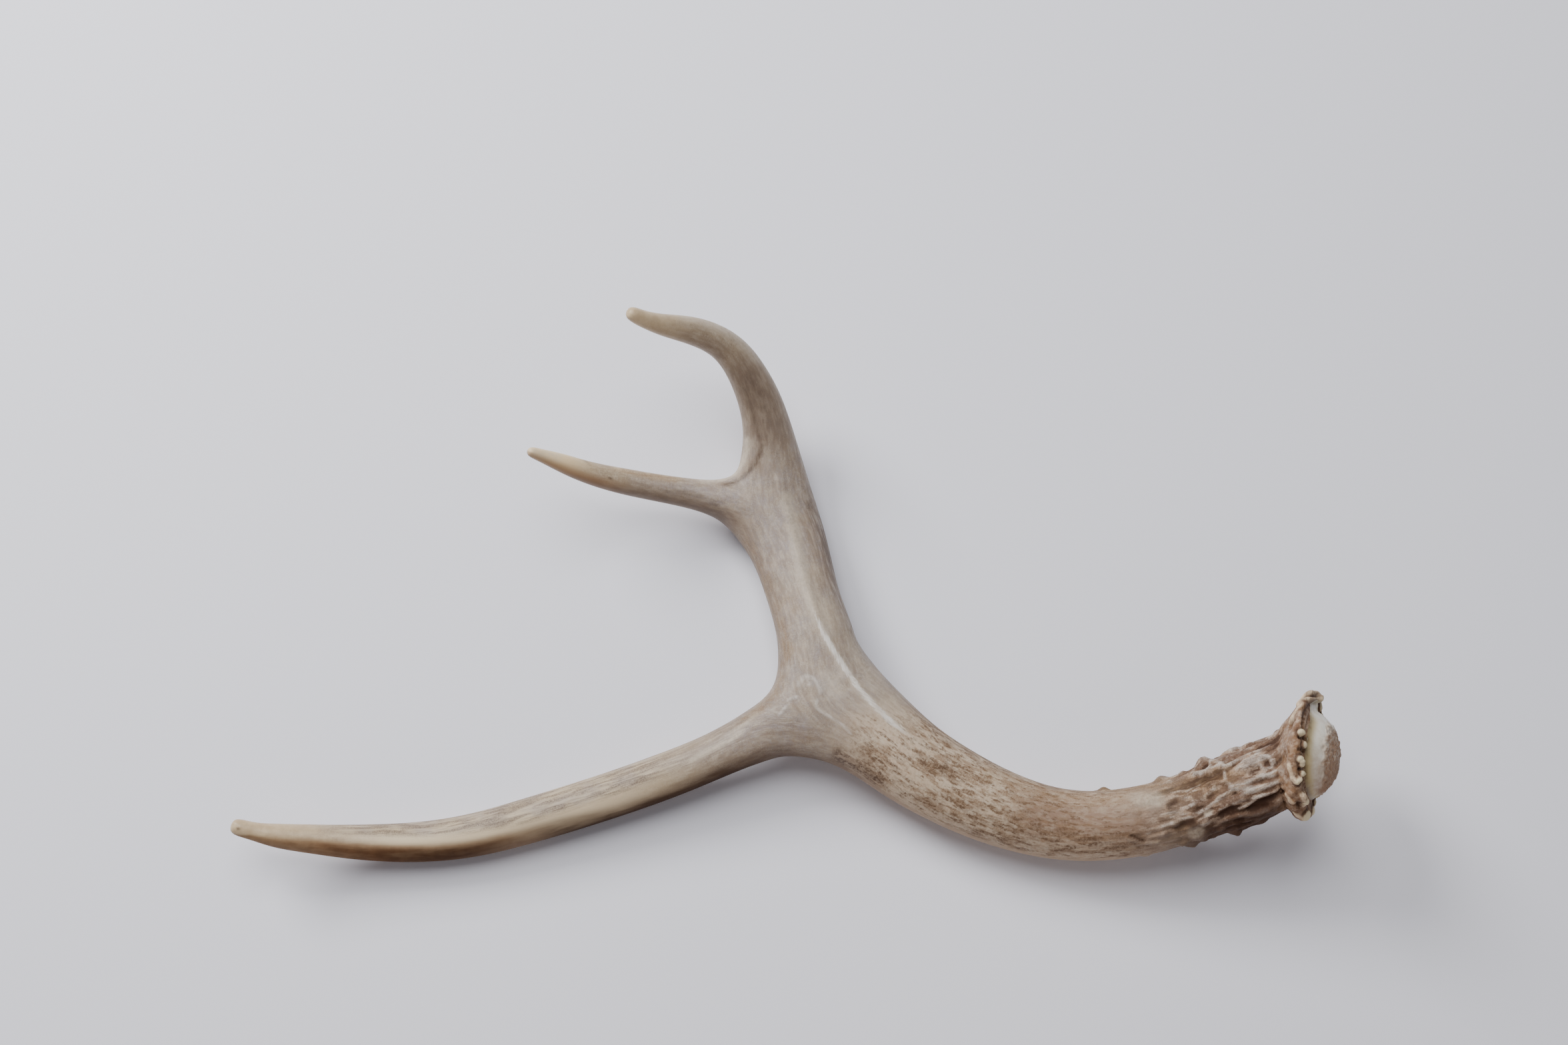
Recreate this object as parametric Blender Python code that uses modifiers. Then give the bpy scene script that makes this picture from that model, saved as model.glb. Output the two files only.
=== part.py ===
"""A shed deer antler with three points, lying on its back.

The antler grew as one branching piece. It is parted at its two main forks, so
the lower beam with its burr, the long tine, the upper beam, the front tine and
the top tine are five solids that meet face to face.

The tables are in millimetres and the model in metres. +X runs from the long
tine's tip to the burr, +Y the way the upper beam grows, and +Z is up. The
origin lies on the surface that the antler rests on, under the middle of its
bounding box.
"""

import math

import bmesh
import bpy
import numpy as np
from mathutils import Matrix, Vector, noise

MM = 0.001
UP = Vector((0, 0, 1))

# How the skin is made
RING = 8  # corners of a cage ring
CAGE_GROWTH = 1.108  # smoothing shrinks an eight-cornered cage by this much
SMOOTHING = 3  # subdivision steps
TRIANGLES = 8800  # of the whole antler, before it is parted
TIP_LENGTH = 0.45  # from the last ring to the tip's end, in half widths
SADDLE_DROP = 0.22  # how far a fork's saddle lies back from the crotch
SADDLE_SPREAD = 0.72  # half its height, in half thicknesses of the branch
TABLE_ORIGIN = (0.2, -3.45, 0.1)  # the model's origin in the tables' frame

# Stations along each branch: x, y, height of the middle, half width seen from
# above, half thickness
LOWER_BEAM = (
    (162.0, -67.0, 31.7, 12.3, 12.3),
    (153.5, -70.1, 28.6, 12.2, 12.1),
    (145.0, -73.0, 25.5, 11.9, 11.8),
    (136.5, -76.3, 22.8, 11.5, 11.4),
    (127.5, -78.7, 20.0, 11.3, 11.3),
    (117.0, -80.9, 17.3, 11.5, 11.3),
    (104.5, -82.0, 14.6, 11.6, 11.4),
    (91.5, -80.9, 11.8, 12.1, 11.8),
    (79.0, -77.7, 12.0, 12.5, 12.0),
    (66.0, -72.9, 13.0, 13.2, 12.3),
    (54.0, -66.9, 14.0, 14.0, 12.5),
    (42.5, -59.9, 15.0, 14.6, 12.5),
    (32.5, -51.6, 15.5, 15.6, 12.3),
    (23.0, -44.6, 16.0, 17.7, 12.0),
)
FORK_1 = (13.0, -38.6, 16.3, 22.6, 11.6)
CROTCH_1 = (-3.0, -35.2, 16.0)
FORK_1_FACES = (-0.86, 0.51, 0)
LONG_TINE = (
    (-7.6, -50.7, 15.6, 9.2, 8.8),
    (-17.5, -55.2, 14.3, 8.0, 7.8),
    (-28.0, -59.9, 12.9, 7.7, 7.6),
    (-41.5, -65.0, 11.1, 7.9, 7.7),
    (-57.0, -70.3, 9.7, 7.8, 7.6),
    (-73.0, -75.3, 8.6, 7.8, 7.6),
    (-88.0, -79.7, 7.8, 7.7, 7.5),
    (-103.5, -84.0, 7.4, 7.4, 7.3),
    (-117.5, -86.2, 7.6, 7.0, 6.9),
    (-131.5, -87.0, 8.7, 6.5, 6.4),
    (-146.5, -86.8, 11.2, 5.8, 5.7),
    (-159.5, -86.0, 14.3, 4.8, 4.7),
    (-170.5, -85.3, 17.8, 4.1, 3.9),
    (-177.5, -84.0, 20.3, 2.8, 2.7),
    (-183.4, -82.4, 22.5, 3.0, 2.8),
)
UPPER_BEAM = (
    (11.0, -16.5, 15.3, 13.0, 10.9),
    (7.4, -5.5, 13.8, 12.2, 9.9),
    (4.6, 5.5, 11.8, 12.8, 10.0),
    (1.4, 17.0, 9.8, 13.7, 10.2),
)
FORK_2 = (-4.7, 28.4, 10.5, 15.9, 9.5)
CROTCH_2 = (-17.4, 41.3, 12.0)
FORK_2_FACES = (-0.31, 0.95, 0)  # square to the ring at the fork
FRONT_TINE = (
    (-25.3, 32.5, 13.2, 5.9, 5.8),
    (-34.7, 33.6, 16.2, 5.0, 4.9),
    (-46.0, 34.6, 20.2, 4.7, 4.6),
    (-57.0, 35.6, 25.2, 4.5, 4.4),
    (-67.5, 37.1, 30.2, 3.8, 3.8),
    (-75.3, 39.2, 35.0, 3.3, 3.3),
    (-81.8, 40.6, 39.6, 2.2, 2.2),
    (-85.8, 41.3, 42.9, 1.8, 1.8),
)
TOP_TINE = (
    (-4.6, 47.8, 14.0, 10.3, 8.8),
    (-5.7, 55.9, 18.0, 8.5, 7.8),
    (-8.0, 64.1, 23.0, 7.6, 7.3),
    (-12.1, 72.0, 29.0, 6.8, 6.6),
    (-17.3, 78.3, 36.0, 6.1, 5.9),
    (-24.0, 81.4, 43.0, 5.3, 5.2),
    (-32.5, 81.8, 51.0, 4.7, 4.7),
    (-40.3, 80.8, 58.0, 3.7, 3.7),
    (-46.6, 80.9, 64.0, 2.8, 2.8),
    (-51.0, 82.0, 68.0, 2.5, 2.4),
)

# The burr and the seal under it, where the antler sat on the skull: the middle
# of the rim, the way the seal faces, and rings from the seal's shoulder back to
# the neck, as distance ahead of that middle, radius, and shift towards -Y
BURR_MIDDLE = (173.8, -60.3, 34.5)
BURR_FACING = (0.902, -0.125, 0.41)
SEAL_PEAK = 9.2
BURR_RINGS = (
    (8.6, 5.5, 0.0),
    (6.7, 10.3, 0.0),
    (3.2, 13.4, 0.0),
    (-0.2, 15.2, 0.0),
    (0.8, 16.8, 0.0),
    (1.0, 19.4, 0.0),
    (-1.8, 21.3, 0.6),
    (-5.0, 17.2, 2.0),
    (-7.6, 13.1, 3.4),
)

# The burr's rim, set with beads and curled to an ear on the +Y side. Turns are in
# degrees round the way the seal faces, from the +Y side over the top.
RIM_FROM, RIM_WIDTH = 16.0, 3.0  # radius where the rim begins, and over which it fades in
RIM_BACK, RIM_DEPTH = 1.5, 8.0  # its middle behind the burr's, and how deep it is
RIM_WAVE, RIM_WAVES = 1.0, 1.6  # height, and how many to a radian, about
RIM_RADIUS, RIM_REACH = 18.0, 6.5  # the ring with finer faces, and its reach
# turn, half width in degrees, and how far the rim moves out and forward there
RIM_REACHES = (
    (10, 26, 0.6, 0.2),
    (333, 26, -1.2, -1.2),
    (190, 22, 0.8, 0.0),
    (216, 22, -0.6, -1.0),
    (238, 34, -1.6, -0.8),
)
# turn, radius, distance ahead, and the bead's own radius and height
BEADS = (
    (78, 19.5, 0.5, 1.7, 1.3),
    (88, 17.5, 1.0, 1.7, 1.5),
    (105, 19.0, 0.5, 1.9, 1.2),
    (119, 17.5, 1.0, 1.7, 1.3),
    (152, 18.5, 1.0, 1.8, 0.8),
    (176, 20.0, 0.0, 2.2, 0.9),
    (199, 19.0, 1.0, 2.4, 1.0),
    (211, 17.0, 1.0, 1.8, 1.0),
)
PLAIN_BEADS = range(224, 350, 11)  # turns of the beads where none stands out
PLAIN_BEAD = (18.4, 0.5, 2.2, 1.3)  # as a bead's, after its turn
# height, half width, and corners as turn, radius and distance ahead
RIM_RIDGES = (
    (0.9, 1.5, ((28, 19, -2.5), (22, 20, -1.5), (14, 20.5, 0), (4, 20.5, 0.5), (352, 20, 0.5))),
    (1.2, 1.6, ((42, 19, -2.5), (31, 19.5, 0), (26, 18.5, 1), (14, 18.5, 1), (2, 19, 1))),
    (0.9, 1.5, ((109, 19.5, -2.5), (120, 20.5, -1.5), (124, 20, -0.5), (122, 19.5, 0))),
    (1.0, 1.5, ((136, 16, 1), (148, 17, 1), (142, 19, 0.5))),
    (0.8, 1.5, ((140, 19.5, -4), (147, 20.5, -2.5), (149, 20.5, -1))),
    (-1.5, 2.2, ((150, 20.5, -0.5), (155, 20, 0))),
    (-1.5, 1.5, ((158, 15.5, 1), (180, 17.5, 1), (192, 21, -1))),
    (-1.3, 1.8, ((8, 17, 1), (40, 18.5, 0.5), (70, 19, 0.5))),
)

# The beam's furrows, from noise laid out along it
PATH_STEPS = 8  # points of a path between two stations
BURR_EDGE = 4.0  # how far behind the burr's middle the beam begins, and fades in
BEAM_END = 20.0  # the least x of the beam's relief
ROUGH_RUN = 62.0  # how far the rough surface reaches from the burr
FURROW_DEPTH = 0.9  # at the burr
FURROW_SLOPE = 3.2  # how steep a furrow's sides are
FURROWS = 3.2  # furrows to a radian, about
FURROW_LENGTH = 26.0
GRAIN_DEPTH = 0.22  # of the long low waves further on
# Pearls and pits: run from the burr's middle, turn round the beam in degrees (0 is
# the +Y edge, 90 the top, 180 the -Y edge), height and radius
PEARLS = (
    (15, 0, 0.7, 3.0),
    (23, 5, 0.8, 3.0),
    (20.5, 3, 1.1, 2.8),
    (31.5, 0, 2.6, 4.2),
    (47.8, 3, 1.4, 3.6),
    (69.5, 0, 1.3, 3.4),
    (6, 8, -1.1, 8.0),
    (14, 182, -0.6, 5.0),
    (34.5, 178, -0.9, 3.0),
    (30, 178, 1.5, 3.0),
    (44, 184, 1.4, 3.2),
    (41, 114, 1.1, 3.2),
    (46, 155, 1.1, 2.8),
    (51, 120, 0.9, 3.0),
    (31, 66, 0.9, 3.6),
    (31, 28, -1.1, 2.2),
    (43, 116, -0.9, 2.4),
    (17, 125, -1.1, 3.2),
    (15, 68, -0.9, 2.2),
    (22, 100, 0.8, 3.0),
    (16, 225, 1.2, 3.2),
    (20, 280, 1.4, 3.4),
    (23, 325, 1.1, 3.0),
    (29, 250, 1.3, 3.2),
    (36, 300, 1.5, 3.6),
    (38, 215, 1.1, 3.0),
    (46, 265, 1.2, 3.4),
    (54, 315, 1.0, 3.2),
    (57, 230, 0.9, 3.0),
)
# The worn crest on top, from the lower beam over the fork
CREST = (
    (54.0, -63.0),
    (44.9, -56.0),
    (34.5, -47.5),
    (25.9, -38.5),
    (17.5, -26.0),
    (11.0, -14.0),
    (7.0, 0.0),
    (4.0, 11.0),
    (1.5, 23.0),
    (-1.5, 36.0),
)
CREST_HEIGHT, CREST_HALF_WIDTH = 0.7, 3.2
CREST_FLOOR = 20.0  # points higher than this are on top

# Where the branches are parted: at the first station of each of these
CUTS = {"long_tine": LONG_TINE, "upper_beam": UPPER_BEAM, "front_tine": FRONT_TINE, "top_tine": TOP_TINE}
SAW_GAP = 0.3  # left between two solids that meet
SAW_REACH = 1.5  # half size of a saw cut, in half widths of the branch
# A point inside each solid, for naming it
INSIDE = {
    "lower_beam": LOWER_BEAM[8],
    "long_tine": LONG_TINE[7],
    "upper_beam": UPPER_BEAM[2],
    "front_tine": FRONT_TINE[3],
    "top_tine": TOP_TINE[4],
}
# Base colour, roughness
FINISHES = {
    "lower_beam": ((0.36, 0.28, 0.215), 0.55),
    "long_tine": ((0.47, 0.40, 0.32), 0.45),
    "upper_beam": ((0.42, 0.36, 0.30), 0.5),
    "front_tine": ((0.46, 0.39, 0.31), 0.42),
    "top_tine": ((0.47, 0.39, 0.31), 0.42),
}


def at(point):
    """A table point in metres, in the model's frame."""
    return (Vector(point[:3]) - Vector(TABLE_ORIGIN)) * MM


# --- the cage ---------------------------------------------------------------


def ring(middle, along, half_width, half_thickness):
    """Eight cage corners round a branch, from its level side over the top."""
    side = along.cross(UP).normalized()
    top = side.cross(along).normalized()
    corners = []
    for i in range(RING):
        turn = 2 * math.pi * i / RING
        out = side * math.cos(turn) * half_width + top * math.sin(turn) * half_thickness
        corners.append(middle + out * CAGE_GROWTH * MM)
    return corners


def branch_rings(stations, before, after=None):
    """A ring at each station, square to the way from its neighbours."""
    middles = [at(before)] + [at(s) for s in stations] + ([at(after)] if after else [])
    rings = []
    for i, station in enumerate(stations, start=1):
        ahead = middles[min(i + 1, len(middles) - 1)]
        along = (ahead - middles[i - 1]).normalized()
        rings.append(ring(middles[i], along, station[3], station[4]))
    return rings


def burr_axes():
    """The way the seal faces, the burr's level upper side, and its high side."""
    facing = Vector(BURR_FACING).normalized()
    side = UP.cross(facing).normalized()
    return facing, side, facing.cross(side)


def burr_rings():
    """The rings of the seal and the burr, from the seal's middle outwards."""
    facing, side, _ = burr_axes()
    middle = at(BURR_MIDDLE)
    return [
        ring(middle + (facing * ahead - side * shift) * MM, -facing, radius, radius)
        for ahead, radius, shift in BURR_RINGS
    ]


def fork_ring(station, faces):
    """A ring across a fork."""
    return ring(at(station), Vector(faces).normalized(), station[3], station[4])


def tip(stations):
    """The end point of a tine, past its last ring."""
    end, before = at(stations[-1]), at(stations[-2])
    return end + (end - before).normalized() * stations[-1][3] * TIP_LENGTH * MM


class Skin:
    """The antler's cage, grown ring by ring."""

    def __init__(self):
        self.bm = bmesh.new()

    def add(self, corners):
        return [self.bm.verts.new(c) for c in corners]

    def grow(self, start, rings):
        for corners in rings:
            fresh = self.add(corners)
            for i in range(RING):
                j = (i + 1) % RING
                self.bm.faces.new((start[i], fresh[i], fresh[j], start[j]))
            start = fresh
        return start

    def close(self, last, peak):
        end = self.bm.verts.new(peak)
        for i in range(RING):
            self.bm.faces.new((last[i], end, last[(i + 1) % RING]))

    def fork(self, trunk, crotch, half_thickness):
        """Parts a ring in two over a saddle. Returns both children's rings."""
        r = trunk
        spread = UP * SADDLE_SPREAD * half_thickness * CAGE_GROWTH * MM
        middle = crotch.lerp((r[6].co + r[2].co) / 2, SADDLE_DROP)
        s1, s2, s3 = self.add((middle + spread, crotch, middle - spread))
        return [r[0], r[1], r[2], s1, s2, s3, r[6], r[7]], [s2, s1, r[2], r[3], r[4], r[5], r[6], s3]


def cage():
    """The whole antler as a coarse closed cage."""
    skin = Skin()
    burr = burr_rings()
    first = skin.add(burr[0])
    skin.close(first, at(BURR_MIDDLE) + burr_axes()[0] * SEAL_PEAK * MM)
    end = skin.grow(first, burr[1:])
    end = skin.grow(end, branch_rings(LOWER_BEAM + (FORK_1,), BURR_MIDDLE, UPPER_BEAM[0])[:-1])
    end = skin.grow(end, [fork_ring(FORK_1, FORK_1_FACES)])
    beam, tine = skin.fork(end, at(CROTCH_1), FORK_1[4])
    skin.close(skin.grow(tine, branch_rings(LONG_TINE, FORK_1)), tip(LONG_TINE))
    end = skin.grow(beam, branch_rings(UPPER_BEAM, FORK_1, FORK_2))
    end = skin.grow(end, [fork_ring(FORK_2, FORK_2_FACES)])
    top, front = skin.fork(end, at(CROTCH_2), FORK_2[4])
    skin.close(skin.grow(front, branch_rings(FRONT_TINE, FORK_2)), tip(FRONT_TINE))
    skin.close(skin.grow(top, branch_rings(TOP_TINE, FORK_2)), tip(TOP_TINE))
    bmesh.ops.recalc_face_normals(skin.bm, faces=skin.bm.faces)
    mesh = bpy.data.meshes.new("antler_cage")
    skin.bm.to_mesh(mesh)
    skin.bm.free()
    return mesh


# --- the relief, in millimetres ---------------------------------------------


def spline(points):
    """Points of a cubic B-spline, which is where a smoothed cage's middle lies."""
    p = [points[0]] + list(points) + [points[-1]]
    path = []
    for a, b, c, d in zip(p, p[1:], p[2:], p[3:]):
        for k in range(PATH_STEPS):
            t = k / PATH_STEPS
            path.append(
                a * ((1 - t) ** 3 / 6)
                + b * ((3 * t**3 - 6 * t**2 + 4) / 6)
                + c * ((-3 * t**3 + 3 * t**2 + 3 * t + 1) / 6)
                + d * (t**3 / 6)
            )
    return np.array(path + [p[-1]])


def straighten(points, path):
    """Each point's run along a path, turn round it in radians, and distance."""
    steps = np.linalg.norm(np.diff(path, axis=0), axis=1)
    run = np.concatenate(([0.0], np.cumsum(steps)))
    along = np.gradient(path, axis=0)
    along /= np.linalg.norm(along, axis=1)[:, None]
    side = np.cross(along, UP)
    side /= np.linalg.norm(side, axis=1)[:, None]
    top = np.cross(side, along)
    near = np.array([((path - p) ** 2).sum(axis=1).argmin() for p in points])
    off = points - path[near]
    turn = np.arctan2((off * top[near]).sum(axis=1), (off * side[near]).sum(axis=1))
    ahead = (off * along[near]).sum(axis=1)
    return run[near] + ahead, turn, np.linalg.norm(off, axis=1)


def dome(distance, radius):
    """A smooth lump, 1 in its middle and 0 past its radius."""
    return np.clip(1 - (distance / radius) ** 2, 0, 1) ** 2


def half_ball(distance, radius):
    """A bead, with steep sides."""
    return np.sqrt(np.clip(1 - (distance / radius) ** 2, 0, 1))


def apart(turn, degrees):
    """The signed angle, in radians, from one in degrees."""
    return (turn - math.radians(degrees) + math.pi) % (2 * math.pi) - math.pi


def from_line(points, corners):
    """The distance of each point from a line through corners."""
    nearest = np.full(len(points), np.inf)
    for a, b in zip(corners, corners[1:]):
        t = np.clip((points - a) @ (b - a) / ((b - a) @ (b - a)), 0, 1)
        nearest = np.minimum(nearest, np.linalg.norm(points - a - t[:, None] * (b - a), axis=1))
    return nearest


def furrows(run, turn):
    """Long ridges and grooves that follow the beam, deepest at the burr."""
    wave = np.array([
        noise.noise(Vector((math.cos(t) * FURROWS, math.sin(t) * FURROWS, r / FURROW_LENGTH)))
        for r, t in zip(run, turn)
    ])
    fade = np.clip(1 - run / ROUGH_RUN, 0, 1)
    return (1 - FURROW_SLOPE * np.abs(wave)) * FURROW_DEPTH * fade + wave * GRAIN_DEPTH


def pearls(run, turn, reach):
    """The lumps and pits in the table."""
    height = np.zeros(len(run))
    for at_run, at_turn, high, radius in PEARLS:
        distance = np.hypot(run - at_run, apart(turn, at_turn) * reach)
        height += high * dome(distance, radius)
    return height


def crest(points):
    """A low worn ridge, seen from above."""
    line = spline([Vector(p) for p in CREST])
    near = np.array([np.hypot(*(line - p[:2]).T).min() for p in points])
    return CREST_HEIGHT * dome(near, CREST_HALF_WIDTH) * (points[:, 2] > CREST_FLOOR)


class Rim:
    """The burr's rim, measured round the way the seal faces."""

    def __init__(self, points):
        self.axes = [np.array(axis) for axis in burr_axes()]
        facing, side, top = self.axes
        off = points - np.array(BURR_MIDDLE)
        self.ahead, level, high = off @ facing, off @ side, off @ top
        radius = np.maximum(np.hypot(level, high), 0.1)
        self.turn = np.arctan2(high, level)
        self.outward = (level[:, None] * side + high[:, None] * top) / radius[:, None]
        self.share = np.clip((radius - RIM_FROM) / RIM_WIDTH, 0, 1) * dome(self.ahead + RIM_BACK, RIM_DEPTH)

    def place(self, turn, radius, ahead):
        """A point of the rim in the tables' frame."""
        facing, side, top = self.axes
        angle = math.radians(turn)
        across = side * math.cos(angle) + top * math.sin(angle)
        return np.array(BURR_MIDDLE) + facing * ahead + across * radius

    def reached(self, points):
        """The points with the rim uneven, and moved as its reaches say."""
        out = RIM_WAVE * np.array([
            noise.noise(Vector((math.cos(t) * RIM_WAVES, math.sin(t) * RIM_WAVES, 4.0))) for t in self.turn
        ])
        forward = np.zeros(len(points))
        for at_turn, half_width, further, ahead in RIM_REACHES:
            near = dome(apart(self.turn, at_turn), math.radians(half_width))
            out += further * near
            forward += ahead * near
        moves = self.outward * out[:, None] + self.axes[0] * forward[:, None]
        return points + moves * self.share[:, None]

    def strokes(self, points):
        """How high the beads and ridges stand."""
        height = np.zeros(len(points))
        for turn, radius, ahead, bead, high in BEADS + tuple((t, *PLAIN_BEAD) for t in PLAIN_BEADS):
            height += high * half_ball(np.linalg.norm(points - self.place(turn, radius, ahead), axis=1), bead)
        for high, half_width, corners in RIM_RIDGES:
            line = [self.place(*corner) for corner in corners]
            height += high * dome(from_line(points, line), half_width)
        return height


def carve(mesh):
    """Gives the smooth skin its relief."""
    count = len(mesh.vertices)
    flat = np.empty(count * 3)
    mesh.vertices.foreach_get("co", flat)
    points = flat.reshape(-1, 3) / MM + np.array(TABLE_ORIGIN)
    normals = np.empty(count * 3)
    mesh.vertices.foreach_get("normal", normals)
    normals = normals.reshape(-1, 3)
    middles = [Vector(s[:3]) for s in (BURR_MIDDLE,) + LOWER_BEAM + (FORK_1,) + UPPER_BEAM]
    run, turn, reach = straighten(points, spline(middles))
    rim = Rim(points)
    on_beam = np.clip(-rim.ahead / BURR_EDGE - 1, 0, 1) * (points[:, 0] > BEAM_END)
    reached = rim.reached(points)
    height = (furrows(run, turn) + pearls(run, turn, reach)) * on_beam + crest(points) + rim.strokes(reached)
    moved = reached + normals * height[:, None]
    mesh.vertices.foreach_set("co", ((moved - np.array(TABLE_ORIGIN)) * MM).ravel())
    mesh.update()


# --- the solids -------------------------------------------------------------


def collection(name):
    made = bpy.data.collections.new(name)
    bpy.context.scene.collection.children.link(made)
    return made


def from_rim(place):
    """How far a place is from the middle line of the burr's rim, in millimetres."""
    off = (place - at(BURR_MIDDLE)) / MM
    facing = burr_axes()[0]
    ahead = off.dot(facing)
    return math.hypot((off - facing * ahead).length - RIM_RADIUS, ahead)


def refine_rim(mesh):
    """Halves the faces near the rim, so that the beads have enough of them."""
    bm = bmesh.new()
    bm.from_mesh(mesh)
    near = {f for f in bm.faces if from_rim(f.calc_center_median()) < RIM_REACH}
    edges = list({e for f in near for e in f.edges})
    done = bmesh.ops.subdivide_edges(bm, edges=edges, cuts=1, use_grid_fill=True)
    fresh = [g for g in done["geom_inner"] if isinstance(g, bmesh.types.BMVert)]
    bmesh.ops.smooth_vert(bm, verts=fresh, factor=0.5, use_axis_x=True, use_axis_y=True, use_axis_z=True)
    bmesh.ops.triangulate(bm, faces=bm.faces)
    bm.to_mesh(mesh)
    bm.free()


def skin_object(home):
    """The antler in one piece, with its relief, thinned to its triangles."""
    skin = bpy.data.objects.new("antler_skin", cage())
    home.objects.link(skin)
    smooth = skin.modifiers.new("smooth", "SUBSURF")
    smooth.levels = smooth.render_levels = SMOOTHING
    graph = bpy.context.evaluated_depsgraph_get()
    skin.data = bpy.data.meshes.new_from_object(skin.evaluated_get(graph))
    skin.modifiers.clear()
    refine_rim(skin.data)
    carve(skin.data)
    thin = skin.modifiers.new("thin", "DECIMATE")
    thin.ratio = TRIANGLES / len(skin.data.polygons)
    return skin


def saw(name, stations, home):
    """A thin box across a branch, at its first station."""
    here, beyond = at(stations[0]), at(stations[1])
    along = (beyond - here).normalized()
    bpy.ops.mesh.primitive_cube_add(size=1)
    blade = bpy.context.object
    blade.name = f"saw_{name}"
    wide = 2 * SAW_REACH * stations[0][3] * MM
    blade.data.transform(Matrix.Diagonal((wide, wide, SAW_GAP * MM, 1)))
    blade.data.transform(along.to_track_quat("Z", "Y").to_matrix().to_4x4())
    blade.data.transform(Matrix.Translation(here))
    for owner in list(blade.users_collection):
        owner.objects.unlink(blade)
    home.objects.link(blade)
    blade.hide_render = True
    blade.display_type = "WIRE"
    return blade


def bodies(bm):
    """The separate closed bodies of a mesh, as sets of faces."""
    left = set(bm.faces)
    found = []
    while left:
        body, border = set(), [left.pop()]
        while border:
            face = border.pop()
            body.add(face)
            beside = {other for edge in face.edges for other in edge.link_faces} & left
            left -= beside
            border.extend(beside)
        found.append(body)
    return found


def nearest_body(found, spot):
    """The body with the point that is closest to a spot."""
    return min(found, key=lambda body: min((v.co - spot).length for f in body for v in f.verts))


def finish(name):
    """The solid's own colour and gloss."""
    colour, roughness = FINISHES[name]
    material = bpy.data.materials.new(name)
    material.use_nodes = True
    shader = material.node_tree.nodes["Principled BSDF"]
    shader.inputs["Base Color"].default_value = (*colour, 1)
    shader.inputs["Roughness"].default_value = roughness
    shader.inputs["Metallic"].default_value = 0
    return material


def named_solids(skin, home):
    """Makes an object of each body of the parted skin."""
    graph = bpy.context.evaluated_depsgraph_get()
    parted = bmesh.new()
    parted.from_mesh(bpy.data.meshes.new_from_object(skin.evaluated_get(graph)))
    found = bodies(parted)
    for name, inside in INSIDE.items():
        wanted = {f.index for f in nearest_body(found, at(inside))}
        alone = parted.copy()
        bmesh.ops.delete(alone, geom=[f for f in alone.faces if f.index not in wanted], context="FACES")
        bmesh.ops.triangulate(alone, faces=alone.faces)
        mesh = bpy.data.meshes.new(name)
        alone.to_mesh(mesh)
        alone.free()
        mesh.shade_smooth()
        mesh.materials.append(finish(name))
        home.objects.link(bpy.data.objects.new(name, mesh))
    parted.free()
    bpy.data.objects.remove(skin)


def main():
    for left_over in list(bpy.data.objects):
        bpy.data.objects.remove(left_over)
    antler = collection("deer_antler")
    cutters = collection("cutters")
    skin = skin_object(antler)
    for name, stations in CUTS.items():
        cut = skin.modifiers.new(f"part_{name}", "BOOLEAN")
        cut.operation = "DIFFERENCE"
        cut.object = saw(name, stations, cutters)
    named_solids(skin, antler)


main()
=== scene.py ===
# %% [markdown]
# # A shed deer antler, from bare frame to finished surface
#
# An antler is bone that a young buck grows in one summer and drops in winter. It
# is one piece: a beam with a knotty rim, the burr, at its foot, and three points.
# The packed model has it as five plain solids. This script grows one seamless skin
# over all five, carves the ridges, beads and pits into it, and stains it.
#
# Sizes are in millimetres until the carved points go into the mesh, because that is
# how one measures an antler with a rule. +X runs to the burr, +Y the way the upper
# beam grows, +Z up.

# %% Open the frame
import math

import bmesh
import bpy
import numpy as np
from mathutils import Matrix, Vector, kdtree, noise


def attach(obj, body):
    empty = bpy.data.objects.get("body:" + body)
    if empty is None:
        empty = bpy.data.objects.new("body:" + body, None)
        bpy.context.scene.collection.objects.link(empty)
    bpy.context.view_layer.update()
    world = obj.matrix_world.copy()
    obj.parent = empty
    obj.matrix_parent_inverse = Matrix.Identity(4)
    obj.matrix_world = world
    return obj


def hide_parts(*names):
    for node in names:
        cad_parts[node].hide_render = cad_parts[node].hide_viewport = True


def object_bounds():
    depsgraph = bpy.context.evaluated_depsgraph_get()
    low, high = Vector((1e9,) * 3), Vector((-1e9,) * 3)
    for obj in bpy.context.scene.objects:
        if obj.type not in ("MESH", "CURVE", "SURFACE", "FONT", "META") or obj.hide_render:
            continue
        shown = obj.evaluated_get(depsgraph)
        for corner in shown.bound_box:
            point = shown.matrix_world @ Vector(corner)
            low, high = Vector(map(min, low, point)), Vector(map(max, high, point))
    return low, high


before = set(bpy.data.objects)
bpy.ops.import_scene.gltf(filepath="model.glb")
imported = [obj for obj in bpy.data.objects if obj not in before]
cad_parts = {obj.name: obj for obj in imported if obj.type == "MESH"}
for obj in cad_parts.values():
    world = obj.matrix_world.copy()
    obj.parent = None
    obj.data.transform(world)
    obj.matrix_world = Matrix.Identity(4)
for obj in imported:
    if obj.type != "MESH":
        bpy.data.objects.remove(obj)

MM = 0.001
UP = Vector((0, 0, 1))
cad_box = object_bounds()
print("packed solids:", sorted(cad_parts))

# %% [markdown]
# ## The camera
#
# The camera looks down on the antler with a 50 mm lens from 75 cm away, leaning
# 13 degrees, as one looks down at something on a table.

# %% Set the camera
LENS, SENSOR = 50, 36  # mm
CAMERA_LEAN = 13  # degrees from straight down
CAMERA_DISTANCE = 0.7514  # m, as is the point it looks at
CAMERA_TARGET = Vector((-0.0002, 0.0254, 0.0199))


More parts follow.
